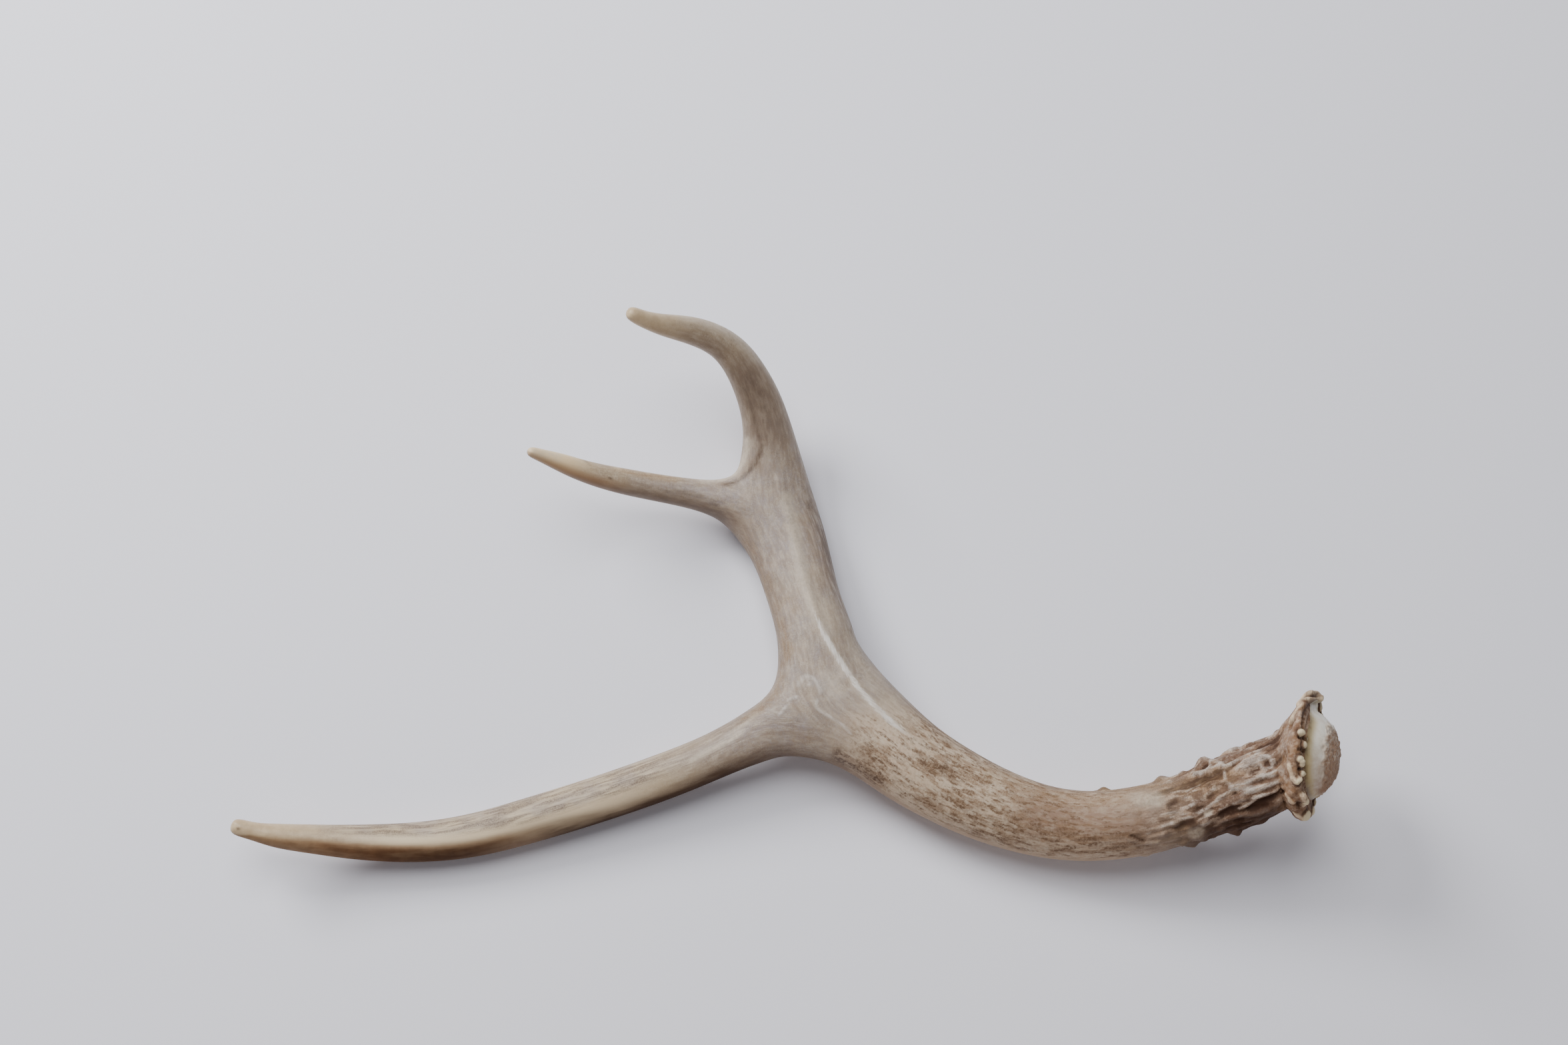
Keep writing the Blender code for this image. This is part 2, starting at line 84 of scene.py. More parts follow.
def add_camera():
    data = bpy.data.cameras.new("camera")
    data.lens, data.sensor_width = LENS, SENSOR
    camera = bpy.data.objects.new("camera", data)
    lean = math.radians(CAMERA_LEAN)
    back = Vector((0, -math.sin(lean), math.cos(lean)))
    camera.location = CAMERA_TARGET + back * CAMERA_DISTANCE
    camera.rotation_euler = (lean, 0, 0)
    bpy.context.collection.objects.link(camera)
    bpy.context.scene.camera = camera
    return camera


print("camera stands at", [round(x, 3) for x in add_camera().location])

# %% [markdown]
# ## Measures of the branches
#
# A branch is written down as a row of stations, as a boat builder would do it:
# where its middle is, how high, how wide and how thick. The same stations made the
# packed solids, so the skin fits them with no fitting.

# %% Write down the stations
TABLE_ORIGIN = (0.2, -3.45, 0.1)  # the model's origin in the tables' frame
# x, y, height of the middle, half width seen from above, half thickness
LOWER_BEAM = (
    (162.0, -67.0, 31.7, 12.3, 12.3),
    (153.5, -70.1, 28.6, 12.2, 12.1),
    (145.0, -73.0, 25.5, 11.9, 11.8),
    (136.5, -76.3, 22.8, 11.5, 11.4),
    (127.5, -78.7, 20.0, 11.3, 11.3),
    (117.0, -80.9, 17.3, 11.5, 11.3),
    (104.5, -82.0, 14.6, 11.6, 11.4),
    (91.5, -80.9, 11.8, 12.1, 11.8),
    (79.0, -77.7, 12.0, 12.5, 12.0),
    (66.0, -72.9, 13.0, 13.2, 12.3),
    (54.0, -66.9, 14.0, 14.0, 12.5),
    (42.5, -59.9, 15.0, 14.6, 12.5),
    (32.5, -51.6, 15.5, 15.6, 12.3),
    (23.0, -44.6, 16.0, 17.7, 12.0),
)
FORK_1 = (13.0, -38.6, 16.3, 22.6, 11.6)
CROTCH_1 = (-3.0, -35.2, 16.0)
LONG_TINE = (
    (-7.6, -50.7, 15.6, 9.2, 8.8),
    (-17.5, -55.2, 14.3, 8.0, 7.8),
    (-28.0, -59.9, 12.9, 7.7, 7.6),
    (-41.5, -65.0, 11.1, 7.9, 7.7),
    (-57.0, -70.3, 9.7, 7.8, 7.6),
    (-73.0, -75.3, 8.6, 7.8, 7.6),
    (-88.0, -79.7, 7.8, 7.7, 7.5),
    (-103.5, -84.0, 7.4, 7.4, 7.3),
    (-117.5, -86.2, 7.6, 7.0, 6.9),
    (-131.5, -87.0, 8.7, 6.5, 6.4),
    (-146.5, -86.8, 11.2, 5.8, 5.7),
    (-159.5, -86.0, 14.3, 4.8, 4.7),
    (-170.5, -85.3, 17.8, 4.1, 3.9),
    (-177.5, -84.0, 20.3, 2.8, 2.7),
    (-183.4, -82.4, 22.5, 3.0, 2.8),
)
UPPER_BEAM = (
    (11.0, -16.5, 15.3, 13.0, 10.9),
    (7.4, -5.5, 13.8, 12.2, 9.9),
    (4.6, 5.5, 11.8, 12.8, 10.0),
    (1.4, 17.0, 9.8, 13.7, 10.2),
)
FORK_2 = (-4.7, 28.4, 10.5, 15.9, 9.5)
CROTCH_2 = (-17.4, 41.3, 12.0)
FRONT_TINE = (
    (-25.3, 32.5, 13.2, 5.9, 5.8),
    (-34.7, 33.6, 16.2, 5.0, 4.9),
    (-46.0, 34.6, 20.2, 4.7, 4.6),
    (-57.0, 35.6, 25.2, 4.5, 4.4),
    (-67.5, 37.1, 30.2, 3.8, 3.8),
    (-75.3, 39.2, 35.0, 3.3, 3.3),
    (-81.8, 40.6, 39.6, 2.2, 2.2),
    (-85.8, 41.3, 42.9, 1.8, 1.8),
)
TOP_TINE = (
    (-4.6, 47.8, 14.0, 10.3, 8.8),
    (-5.7, 55.9, 18.0, 8.5, 7.8),
    (-8.0, 64.1, 23.0, 7.6, 7.3),
    (-12.1, 72.0, 29.0, 6.8, 6.6),
    (-17.3, 78.3, 36.0, 6.1, 5.9),
    (-24.0, 81.4, 43.0, 5.3, 5.2),
    (-32.5, 81.8, 51.0, 4.7, 4.7),
    (-40.3, 80.8, 58.0, 3.7, 3.7),
    (-46.6, 80.9, 64.0, 2.8, 2.8),
    (-51.0, 82.0, 68.0, 2.5, 2.4),
)
# The burr: the middle of its rim, the way the seal faces, and rings from the seal's
# shoulder back to the neck, as distance ahead, radius, and shift towards -Y
BURR_MIDDLE = (173.8, -60.3, 34.5)
BURR_FACING = (0.902, -0.125, 0.41)
SEAL_PEAK = 9.2
BURR_RINGS = (
    (8.6, 5.5, 0.0),
    (6.7, 10.3, 0.0),
    (3.2, 13.4, 0.0),
    (-0.2, 15.2, 0.0),
    (0.8, 16.8, 0.0),
    (1.0, 19.4, 0.0),
    (-1.8, 21.3, 0.6),
    (-5.0, 17.2, 2.0),
    (-7.6, 13.1, 3.4),
)
print("stations:", sum(map(len, (LOWER_BEAM, LONG_TINE, UPPER_BEAM, FRONT_TINE, TOP_TINE))))

# %% [markdown]
# ## Rings round the branches
#
# A cut through a tine is close to round, and the beam is flatter at its forks. So a
# ring of eight corners, as wide and as thick as its station says, describes any
# place on the antler. More corners would follow the tables no better, and would be
# harder to part at a fork. Subdivision rounds a ring later, and shrinks it a little,
# which CAGE_GROWTH makes up for.

# %% Make rings
RING = 8
CAGE_GROWTH = 1.108
TIP_LENGTH = 0.45  # from the last ring to the tip's end, in half widths


def ring(middle, along, half_width, half_thickness):
    """Eight cage corners round a branch, from its level side over the top."""
    side = along.cross(UP).normalized()
    top = side.cross(along).normalized()
    corners = []
    for i in range(RING):
        turn = 2 * math.pi * i / RING
        out = side * math.cos(turn) * half_width + top * math.sin(turn) * half_thickness
        corners.append(middle + out * CAGE_GROWTH)
    return corners


def branch_rings(stations, before, after=None):
    """A ring at each station, square to the way from its neighbours."""
    middles = [Vector(s[:3]) for s in (before,) + stations + ((after,) if after else ())]
    rings = []
    for i, station in enumerate(stations, start=1):
        ahead = middles[min(i + 1, len(middles) - 1)]
        along = (ahead - middles[i - 1]).normalized()
        rings.append(ring(middles[i], along, station[3], station[4]))
    return rings


def fork_ring(fork, along):
    """The ring where a branch parts, square to the given way."""
    return ring(Vector(fork[:3]), Vector(along).normalized(), fork[3], fork[4])


def burr_axes():
    """The way the seal faces, the burr's level upper side, and its high side."""
    facing = Vector(BURR_FACING).normalized()
    side = UP.cross(facing).normalized()
    return facing, side, facing.cross(side)


def burr_rings():
    facing, side, _ = burr_axes()
    middle = Vector(BURR_MIDDLE)
    return [
        ring(middle + facing * ahead - side * shift, -facing, radius, radius)
        for ahead, radius, shift in BURR_RINGS
    ]


def tip(stations):
    """The end point of a tine, past its last ring."""
    end, before = Vector(stations[-1][:3]), Vector(stations[-2][:3])
    return end + (end - before).normalized() * stations[-1][3] * TIP_LENGTH


print("the burr has", len(burr_rings()), "rings of", RING, "corners")

# %% [markdown]
# ## A cage that forks
#
# Where a beam forks, a web of bone spans the crotch. A branching tube could be
# skinned from metaballs or joined with Booleans, but both leave a welt where the
# branches meet. Parting one ring in two over a saddle of three points gives the
# clean web instead.

# %% Grow the cage
SADDLE_DROP = 0.22  # how far a fork's saddle lies back from the crotch
SADDLE_SPREAD = 0.72  # half its height, in half thicknesses of the branch
FORK_1_ALONG = (-0.86, 0.51, 0)  # the way the bone runs through each fork
FORK_2_ALONG = (-0.31, 0.95, 0)


class Skin:
    """The antler's cage, grown ring by ring."""

    def __init__(self):
        self.bm = bmesh.new()

    def add(self, corners):
        return [self.bm.verts.new(c) for c in corners]

    def grow(self, start, rings):
        for corners in rings:
            fresh = self.add(corners)
            for i in range(RING):
                j = (i + 1) % RING
                self.bm.faces.new((start[i], fresh[i], fresh[j], start[j]))
            start = fresh
        return start

    def close(self, last, peak):
        end = self.bm.verts.new(peak)
        for i in range(RING):
            self.bm.faces.new((last[i], end, last[(i + 1) % RING]))

    def fork(self, trunk, crotch, half_thickness):
        """Parts a ring in two over a saddle. Returns both children's rings."""
        spread = UP * SADDLE_SPREAD * half_thickness * CAGE_GROWTH
        crotch = Vector(crotch)
        middle = crotch.lerp((trunk[6].co + trunk[2].co) / 2, SADDLE_DROP)
        above, saddle, below = self.add((middle + spread, crotch, middle - spread))
        one = trunk[:3] + [above, saddle, below] + trunk[6:]
        other = [saddle, above] + trunk[2:7] + [below]
        return one, other


def grow_cage():
    skin = Skin()
    burr = burr_rings()
    end = skin.add(burr[0])
    skin.close(end, Vector(BURR_MIDDLE) + burr_axes()[0] * SEAL_PEAK)
    end = skin.grow(end, burr[1:])
    end = skin.grow(end, branch_rings(LOWER_BEAM, BURR_MIDDLE, FORK_1))
    end = skin.grow(end, [fork_ring(FORK_1, FORK_1_ALONG)])
    beam, tine = skin.fork(end, CROTCH_1, FORK_1[4])
    skin.close(skin.grow(tine, branch_rings(LONG_TINE, FORK_1)), tip(LONG_TINE))
    end = skin.grow(beam, branch_rings(UPPER_BEAM, FORK_1, FORK_2))
    end = skin.grow(end, [fork_ring(FORK_2, FORK_2_ALONG)])
    top, front = skin.fork(end, CROTCH_2, FORK_2[4])
    skin.close(skin.grow(front, branch_rings(FRONT_TINE, FORK_2)), tip(FRONT_TINE))
    skin.close(skin.grow(top, branch_rings(TOP_TINE, FORK_2)), tip(TOP_TINE))
    bmesh.ops.recalc_face_normals(skin.bm, faces=skin.bm.faces)
    mesh = bpy.data.meshes.new("antler")
    skin.bm.to_mesh(mesh)
    skin.bm.free()
    return mesh


cage = grow_cage()
print("cage:", len(cage.polygons), "faces")

# %% [markdown]
# ## Fine lines on the first fork
#
# Two things on the first fork are finer than anything round them: a blunt crest,
# and the traces of the vessels that fed the velvet, thin as a bootlace. They could
# be cut into the cage, but it would have to follow every bend. So they are drawn
# from above, like pencil lines on the bone, and the distance from a line is all
# that the later steps need.

# %% Draw the crest and the vessels
CREST = (
    (54.0, -63.0), (44.9, -56.0), (34.5, -47.5), (25.9, -38.5), (17.5, -26.0),
    (11.0, -14.0), (7.0, 0.0), (4.0, 11.0), (1.5, 23.0), (-1.5, 36.0),
)
# half width, and corners in x and y
VESSELS = (
    (0.8, (
        (11.5, -40.9), (10.4, -42.2), (11.0, -43.9), (12.7, -44.9), (16.5, -47.0), (20.3, -49.9),
        (22.3, -52.1),
    )),
    (1.3, (
        (4.9, -35.8), (5.5, -34.4), (6.5, -33.2), (7.8, -32.8), (9.5, -33.5), (11.3, -34.6),
        (12.2, -37.9),
    )),
    (1.0, ((8.3, -35.6), (9.1, -35.4))),
    (0.9, ((0.9, -40.9), (4.5, -39.7))),
    (0.9, ((-1.8, -45.9), (0.9, -42.8))),
)


def from_line(places, corners):
    """Distance of each place from a line drawn through corners."""
    nearest = np.full(len(places), np.inf)
    corners = np.array(corners, dtype=float)
    for a, b in zip(corners, corners[1:]):
        t = np.clip((places - a) @ (b - a) / ((b - a) @ (b - a)), 0, 1)
        nearest = np.minimum(nearest, np.linalg.norm(places - a - t[:, None] * (b - a), axis=1))
    return nearest


def from_fine_lines(places):
    """Distance of each place from the crest and the vessels, seen from above."""
    flat = np.array(places)[:, :2]
    fine_lines = [CREST] + [line for _, line in VESSELS]
    return np.minimum.reduce([from_line(flat, line) for line in fine_lines])


print("crest of", len(CREST), "corners, and", len(VESSELS), "vessels")

# %% [markdown]
# ## Where the faces get smaller
#
# The tines are smooth and the burr is a tangle of beads, so one face size wastes
# faces on one or starves the other. Three zones get smaller faces: the rough foot
# of the beam, the rim of the burr, and the upper side of the first fork along its
# fine lines. Each zone is a rule that picks faces by where their middles lie.

# %% Choose the fine zones
FOOT_REACH = 70.0  # from the burr's middle
RIM_RADIUS = 18.0
RIM_REACH = 6.5  # from the middle line of the rim
LINE_REACH = 2.2  # from a fine line
LINE_FLOOR = 19.0  # faces higher than this are on the upper side


def near_foot(faces):
    return [f for f, p in faces if (p - Vector(BURR_MIDDLE)).length < FOOT_REACH]


def near_rim(faces):
    facing = burr_axes()[0]
    near = []
    for face, place in faces:
        off = place - Vector(BURR_MIDDLE)
        ahead = off.dot(facing)
        if math.hypot((off - facing * ahead).length - RIM_RADIUS, ahead) < RIM_REACH:
            near.append(face)
    return near


def near_fine_lines(faces):
    distances = from_fine_lines([place for _, place in faces])
    return [f for (f, p), d in zip(faces, distances) if d < LINE_REACH and p.z > LINE_FLOOR]


whole = [(face, face.center) for face in cage.polygons]
print("faces of the cage near the foot:", len(near_foot(whole)), "near the rim:", len(near_rim(whole)))

# %% [markdown]
# ## Round the cage
#
# The whole skin is subdivided three times, which rounds it. Then the foot is
# subdivided once more, the rim once on top of that, and the fine lines twice.
# Subdividing the whole skin to the finest size would be simpler, but would make
# more than a million triangles.

# %% Round the cage and refine it
SMOOTHING = 3


def subdivide(bm, chosen):
    """Halves the chosen faces and relaxes them."""
    faces = chosen([(f, f.calc_center_median()) for f in bm.faces])
    edges = list({e for f in faces for e in f.edges})
    done = bmesh.ops.subdivide_edges(bm, edges=edges, cuts=1, use_grid_fill=True)
    fresh = [g for g in done["geom_inner"] if isinstance(g, bmesh.types.BMVert)]
    bmesh.ops.smooth_vert(bm, verts=fresh, factor=0.5, use_axis_x=True, use_axis_y=True, use_axis_z=True)


def refined(mesh):
    skin = bpy.data.objects.new("antler", mesh)
    bpy.context.collection.objects.link(skin)
    smooth = skin.modifiers.new("smooth", "SUBSURF")
    smooth.levels = smooth.render_levels = SMOOTHING
    graph = bpy.context.evaluated_depsgraph_get()
    skin.data = bpy.data.meshes.new_from_object(skin.evaluated_get(graph))
    skin.data.name = "antler"
    skin.modifiers.clear()
    bm = bmesh.new()
    bm.from_mesh(skin.data)
    for chosen in (near_foot, near_rim, near_fine_lines, near_fine_lines):
        subdivide(bm, chosen)
    bmesh.ops.triangulate(bm, faces=bm.faces)
    bm.to_mesh(skin.data)
    bm.free()
    return skin


def of_each_point(name):
    """A vector of each point of the skin, as an array."""
    flat = np.empty(len(antler.data.vertices) * 3)
    antler.data.vertices.foreach_get(name, flat)
    return flat.reshape(-1, 3)


antler = refined(cage)
points, normals = of_each_point("co"), of_each_point("normal")
x, y, _ = points.T
print("skin:", len(antler.data.polygons), "triangles")

# %% [markdown]
# ## Coordinates that follow the bone
#
# Everything on an antler runs along it: ridges, furrows, the streaks left by the
# blood vessels of the velvet. So each point gets a place along its branch and a
# place across it. The main course runs from the burr to the top tine, and the two
# side courses branch off it. Where courses meet, a share fades one into the other.

# %% Straighten the branches
PATH_STEPS = 8  # points of a path between two stations
FADE_WIDTH = 9.0  # over which a side course takes over
FRONT_SIDE = 5.0  # the front tine's course counts above this y, the long tine's below
ROOT_OF_LONG_TINE = ((40.0, -61.0, 14.8), (22.0, -54.5, 15.6), (6.0, -51.5, 16.0))
ROOT_OF_FRONT_TINE = ((0.0, 20.0, 11.0), (-8.0, 27.0, 11.5), (-17.0, 31.0, 12.2))


def middles(*parts):
    return [Vector(s[:3]) for part in parts for s in part]


def spline(corners):
    """Points of a cubic B-spline, which is where a smoothed cage's middle lies."""
    p = [corners[0]] + list(corners) + [corners[-1]]
    path = []
    for a, b, c, d in zip(p, p[1:], p[2:], p[3:]):
        for k in range(PATH_STEPS):
            t = k / PATH_STEPS
            path.append(
                a * ((1 - t) ** 3 / 6)
                + b * ((3 * t**3 - 6 * t**2 + 4) / 6)
                + c * ((-3 * t**3 + 3 * t**2 + 3 * t + 1) / 6)
                + d * (t**3 / 6)
            )
    return np.array(path + [p[-1]])


def straighten(path):
    """Each point's run along a path and its place across it, level and upward."""
    steps = np.linalg.norm(np.diff(path, axis=0), axis=1)
    run = np.concatenate(([0.0], np.cumsum(steps)))
    along = np.gradient(path, axis=0)
    along /= np.linalg.norm(along, axis=1)[:, None]
    side = np.cross(along, UP)
    side /= np.linalg.norm(side, axis=1)[:, None]
    top = np.cross(side, along)
    tree = kdtree.KDTree(len(path))
    for i, p in enumerate(path):
        tree.insert(p, i)
    tree.balance()
    near = np.array([tree.find(p)[1] for p in points])
    off = points - path[near]
    ahead = (off * along[near]).sum(axis=1)
    level, high = (off * side[near]).sum(axis=1), (off * top[near]).sum(axis=1)
    return np.stack((run[near] + ahead, level, high), axis=1), np.linalg.norm(off, axis=1)


def fade(values, start, end):
    """0 up to the start, 1 from the end on, soft between them. Either may be the larger."""
    share = np.clip((values - start) / (end - start), 0, 1)
    return share * share * (3 - 2 * share)


main_path = spline(middles((BURR_MIDDLE,), LOWER_BEAM, (FORK_1,), UPPER_BEAM, (FORK_2,), TOP_TINE))
long_path = spline(middles((BURR_MIDDLE,), LOWER_BEAM[:10], ROOT_OF_LONG_TINE, LONG_TINE))
front_path = spline(middles(UPPER_BEAM[:3], ROOT_OF_FRONT_TINE, FRONT_TINE))
main_grain, main_reach = straighten(main_path)
long_grain, long_reach = straighten(long_path)
front_grain, front_reach = straighten(front_path)
on_long = fade(main_reach - long_reach, 0, FADE_WIDTH)
on_front = fade(main_reach - front_reach, 0, FADE_WIDTH) * (y > FRONT_SIDE)
side_share = np.maximum(on_long, on_front)
side_grain = np.where((y > FRONT_SIDE)[:, None], front_grain, long_grain)
run = main_grain[:, 0]
turn = np.arctan2(main_grain[:, 2], main_grain[:, 1])
print("main course:", round(float(run.max())), "mm long")

# %% [markdown]
# ## Tools for carving
#
# Blender's sculpt brushes can't be repeated to the same result, so each dent and
# ridge here is a formula of distance: how far a point is from a spot or from a line
# drawn on the bone. A dome is the shape of one stroke. Noise is only used for what
# has no place of its own, and it is laid out in the straightened coordinates.

# %% Define the strokes
def dome(distance, radius):
    """A smooth lump, 1 in its middle and 0 past its radius."""
    return np.clip(1 - (distance / radius) ** 2, 0, 1) ** 2


def half_ball(distance, radius):
    """A bead, with steep sides."""
    return np.sqrt(np.clip(1 - (distance / radius) ** 2, 0, 1))


def apart(angles, degrees):
    """The signed angle from one in degrees to each of the angles, in radians."""
    return (angles - math.radians(degrees) + math.pi) % (2 * math.pi) - math.pi


def perlin(places):
    return np.array([noise.noise(p) for p in places.tolist()])


def round_about(angles, radius, onward):
    """Places for a noise that closes on itself round a branch."""
    return np.stack((np.cos(angles) * radius, np.sin(angles) * radius, onward), axis=1)


print("height half way out, dome and bead:", [round(float(f(0.5, 1)), 2) for f in (dome, half_ball)])

# %% [markdown]
# ## The rough foot of the beam
#
# Below the first fork the beam is furrowed like bark, most of all at the burr, and
# worn smooth further on. Drawing each furrow would take hundreds of lines. But
# where a noise changes sign, it leaves narrow ridges that run on, part and meet
# again, as these do, so one noise makes the furrows and a finer one the net between.

# %% Furrow the beam
ROUGH_RUN = 62.0  # how far the furrows reach from the burr
FURROW_DEPTH, FURROW_EDGE = 0.9, 3.2  # the edge is how narrow the ridges are
FURROWS, FURROW_LENGTH = 3.2, 26.0  # furrows to a radian, about
GRAIN_DEPTH = 0.22  # of the long low waves further on
VEIN_DEPTH, VEIN_EDGE = 0.42, 4.0
VEINS, VEIN_LENGTH = 5.6, 12.0
VEIN_END, VEIN_FULL = 74.0, 34.0  # runs where the net ends, and where it is at full height
DRIFTS, DRIFT_LENGTH = 2.0, 9.0  # of a slower noise that makes the net wander
DRIFT = (0.5, 0.5, 0.25)
NET_SEED, DRIFT_SEED = 3.0, 7.0  # places in the noise, so that no two waves are alike


def furrows():
    wave = perlin(round_about(turn, FURROWS, run / FURROW_LENGTH))
    near = np.clip(1 - run / ROUGH_RUN, 0, 1)
    return (1 - FURROW_EDGE * np.abs(wave)) * FURROW_DEPTH * near + wave * GRAIN_DEPTH


def veins():
    drift = perlin(round_about(turn, DRIFTS, run / DRIFT_LENGTH + DRIFT_SEED))[:, None] * DRIFT
    wave = perlin(round_about(turn, VEINS, run / VEIN_LENGTH + NET_SEED) + drift)
    return (1 - VEIN_EDGE * np.abs(wave)) * VEIN_DEPTH * fade(run, VEIN_END, VEIN_FULL)


bark = furrows() + veins()
print("furrows, mm:", round(float(bark.min()), 2), "to", round(float(bark.max()), 2))

# %% [markdown]
# ## Pearls
#
# Pearls are the knobs that hunters call by that name. The eye finds them at once, so
# they aren't left to noise: each one is placed by its run from the burr and its turn
# round the beam. 0 is the +Y edge, 90 the top, 180 the -Y edge. A few are dents.

# %% Set the pearls
# run, turn, height, radius
PEARLS = (
    (15, 0, 0.7, 3.0),
    (23, 5, 0.8, 3.0),
    (31.5, 0, 2.6, 4.2),
    (47.8, 3, 1.4, 3.6),
    (69.5, 0, 1.3, 3.4),
    (6, 8, -1.1, 8.0),
    (14, 182, -0.6, 5.0),
    (34.5, 178, -0.9, 3.0),
    (30, 178, 1.5, 3.0),
    (44, 184, 1.4, 3.2),
    (41, 114, 1.1, 3.2),
    (46, 155, 1.1, 2.8),
    (51, 120, 0.9, 3.0),
    (31, 66, 0.9, 3.6),
    (15, 68, -0.9, 2.2),
    (22, 100, 0.8, 3.0),
    (16, 225, 1.2, 3.2),
    (20, 280, 1.4, 3.4),
    (23, 325, 1.1, 3.0),
    (29, 250, 1.3, 3.2),
    (36, 300, 1.5, 3.6),
    (38, 215, 1.1, 3.0),
    (46, 265, 1.2, 3.4),
    (54, 315, 1.0, 3.2),
    (57, 230, 0.9, 3.0),
)
BURR_CLEARANCE = 4.0  # strokes begin this far behind the burr, and fade in over as much
STROKES_TO_X = 20.0
facing, burr_side, burr_top = (np.array(axis) for axis in burr_axes())
from_burr = points - np.array(BURR_MIDDLE)
ahead = from_burr @ facing
behind = np.clip(-BURR_CLEARANCE - ahead, 0, BURR_CLEARANCE) / BURR_CLEARANCE
on_beam = behind * (x > STROKES_TO_X)


def knob(at_run, at_turn, radius):
    """A dome on the beam."""
    return dome(np.hypot(run - at_run, apart(turn, at_turn) * main_reach), radius)


pearls = np.zeros(len(points))
for at_run, at_turn, height, radius in PEARLS:
    pearls += height * knob(at_run, at_turn, radius)
print("pearls and dents:", len(PEARLS))

# %% [markdown]
# ## Ridges, grooves and knobs that stand out
#
# On top of the bark some ridges are high enough to have been rubbed pale, and some
# slits deep enough to hold dirt. They are drawn as lines on the unrolled beam, the
# way a pattern is drawn on paper before it is wrapped round a post. The strokes are
# kept, because the paint needs them too.

# %% Draw the ridges and grooves that stand out
# height, half width, and corners as run and turn
BEAM_LINES = (
    (0.75, 1.3, ((36.0, 30), (32.5, 42), (29.0, 34), (28.5, 18), (30.0, 8))),
    (-1.1, 1.7, ((31.0, 34), (30.5, 22))),
    (0.7, 1.2, ((27.5, 26), (25.0, 40), (25.2, 58), (25.6, 72), (24.0, 86))),
    (0.6, 1.3, ((24.4, 47), (18.3, 43), (13.0, 40), (8.0, 38))),
    (0.6, 1.3, ((24.0, 86), (16.5, 86), (12.0, 88), (8.0, 88))),
    (0.6, 1.3, ((31.0, 96), (24.0, 88), (16.8, 101), (9.0, 102))),
    (0.5, 1.2, ((9.4, 74), (10.2, 60), (12.2, 54), (13.8, 63), (13.0, 76), (10.4, 78), (9.2, 70))),
    (-0.7, 1.5, ((11.6, 65), (11.2, 66))),
    (0.7, 1.3, ((25.0, 121), (22.0, 119), (18.3, 113), (12.6, 116), (9.6, 112))),
    (-1.2, 1.9, ((21.5, 128), (15.0, 124), (9.8, 118))),
    (0.7, 1.6, ((24.0, 143), (20.1, 140), (13.9, 137), (10.4, 131))),
    (-0.9, 2.2, ((46.0, 118), (41.0, 113))),
    (-0.8, 1.9, ((31.0, 118), (27.5, 114))),
    (-0.5, 1.8, ((46.5, 80), (44.0, 76))),
    (0.45, 1.0, ((45.0, 55), (39.0, 62), (34.5, 58))),
    (0.45, 1.1, ((50.0, 92), (41.0, 90), (35.0, 84), (29.5, 76))),
    (0.4, 1.1, ((57.0, 118), (49.0, 108), (38.0, 104), (31.0, 96))),
    (-0.5, 0.9, ((61.5, 117), (58.0, 129))),
    (0.5, 1.2, ((62.5, 120), (59.0, 132), (54.0, 138))),
)
# height, radius, run and turn
KNOBS = (
    (0.9, 2.4, 33.9, 145),
    (1.0, 2.6, 41.4, 150),
    (0.7, 2.4, 37.2, 124),
    (0.8, 2.6, 46.2, 114),
    (0.9, 2.6, 40.2, 164),
    (0.8, 2.2, 29.2, 181),
    (0.5, 2.2, 39.6, 4),
    (1.1, 2.8, 20.3, 3),
    (0.6, 2.4, 58.5, 172),
    (0.5, 3.4, 10.5, 2),
)
BEAM_RADIUS = 12.0  # to lay a turn out as a distance
KNOB_WEAR = 0.8  # how pale a knob is worn, where a ridge is 1


def unrolled(corners):
    """Where the points and a line's corners lie on the beam's unrolled surface."""
    turns = np.radians([at_turn for _, at_turn in corners])
    around = math.degrees(math.atan2(np.sin(turns).mean(), np.cos(turns).mean()))
    places = np.stack((run, apart(turn, around) * main_reach), axis=1)
    line = [(at_run, float(apart(math.radians(t), around)) * BEAM_RADIUS) for at_run, t in corners]
    return places, line


lines, hollows, pale = np.zeros((3, len(points)))
for height, half_width, corners in BEAM_LINES:
    stroke = dome(from_line(*unrolled(corners)), half_width)
    lines += height * stroke
    target = pale if height > 0 else hollows
    np.maximum(target, stroke * on_beam, out=target)
for height, radius, at_run, at_turn in KNOBS:
    stroke = knob(at_run, at_turn, radius)
    lines += height * stroke
    np.maximum(pale, KNOB_WEAR * stroke * on_beam, out=pale)
rise = (bark + pearls + lines) * on_beam
print("beam relief, mm:", round(float(rise.min()), 2), "to", round(float(rise.max()), 2))

# %% [markdown]
# ## The worn crest and its painted highlight
#
# Over the first fork the bone has a blunt ridge that rubbing has worn white, and
# beside it lie the traces of the vessels. Its white line is also painted brighter
# as a highlight. A line that is drawn from above touches only the upper side.

# %% Raise the crest and the vessels
CREST_HEIGHT, CREST_HALF_WIDTH = 0.7, 3.2
WORN_HALF_WIDTH = 2.6  # of its white line
VESSEL_HEIGHT = 0.12


def seen_from_above(corners, half_width):
    line = spline([Vector((*corner, 0)) for corner in corners])[:, :2]
    return dome(from_line(points[:, :2], line), half_width) * (normals[:, 2] > 0)


crest = seen_from_above(CREST, CREST_HALF_WIDTH)
# the crest's white line: worn bone, painted brighter as a highlight
worn = seen_from_above(CREST, WORN_HALF_WIDTH) * fade(y, 11, -23) * fade(y, -61, -49)
vessels = np.maximum.reduce([seen_from_above(corners, half_width) for half_width, corners in VESSELS])
rise += CREST_HEIGHT * crest + VESSEL_HEIGHT * vessels
print("crest points:", int((crest > 0).sum()), "vessel points:", int((vessels > 0).sum()))

# %% [markdown]
# ## Measures round the burr
#
# The burr is a collar round the beam's foot, so places on it are given as on the
# face of a clock: by a turn round its axis and a radius. How far they lie ahead,
# towards the seal, is the third measure. The rim is where the radius is large.

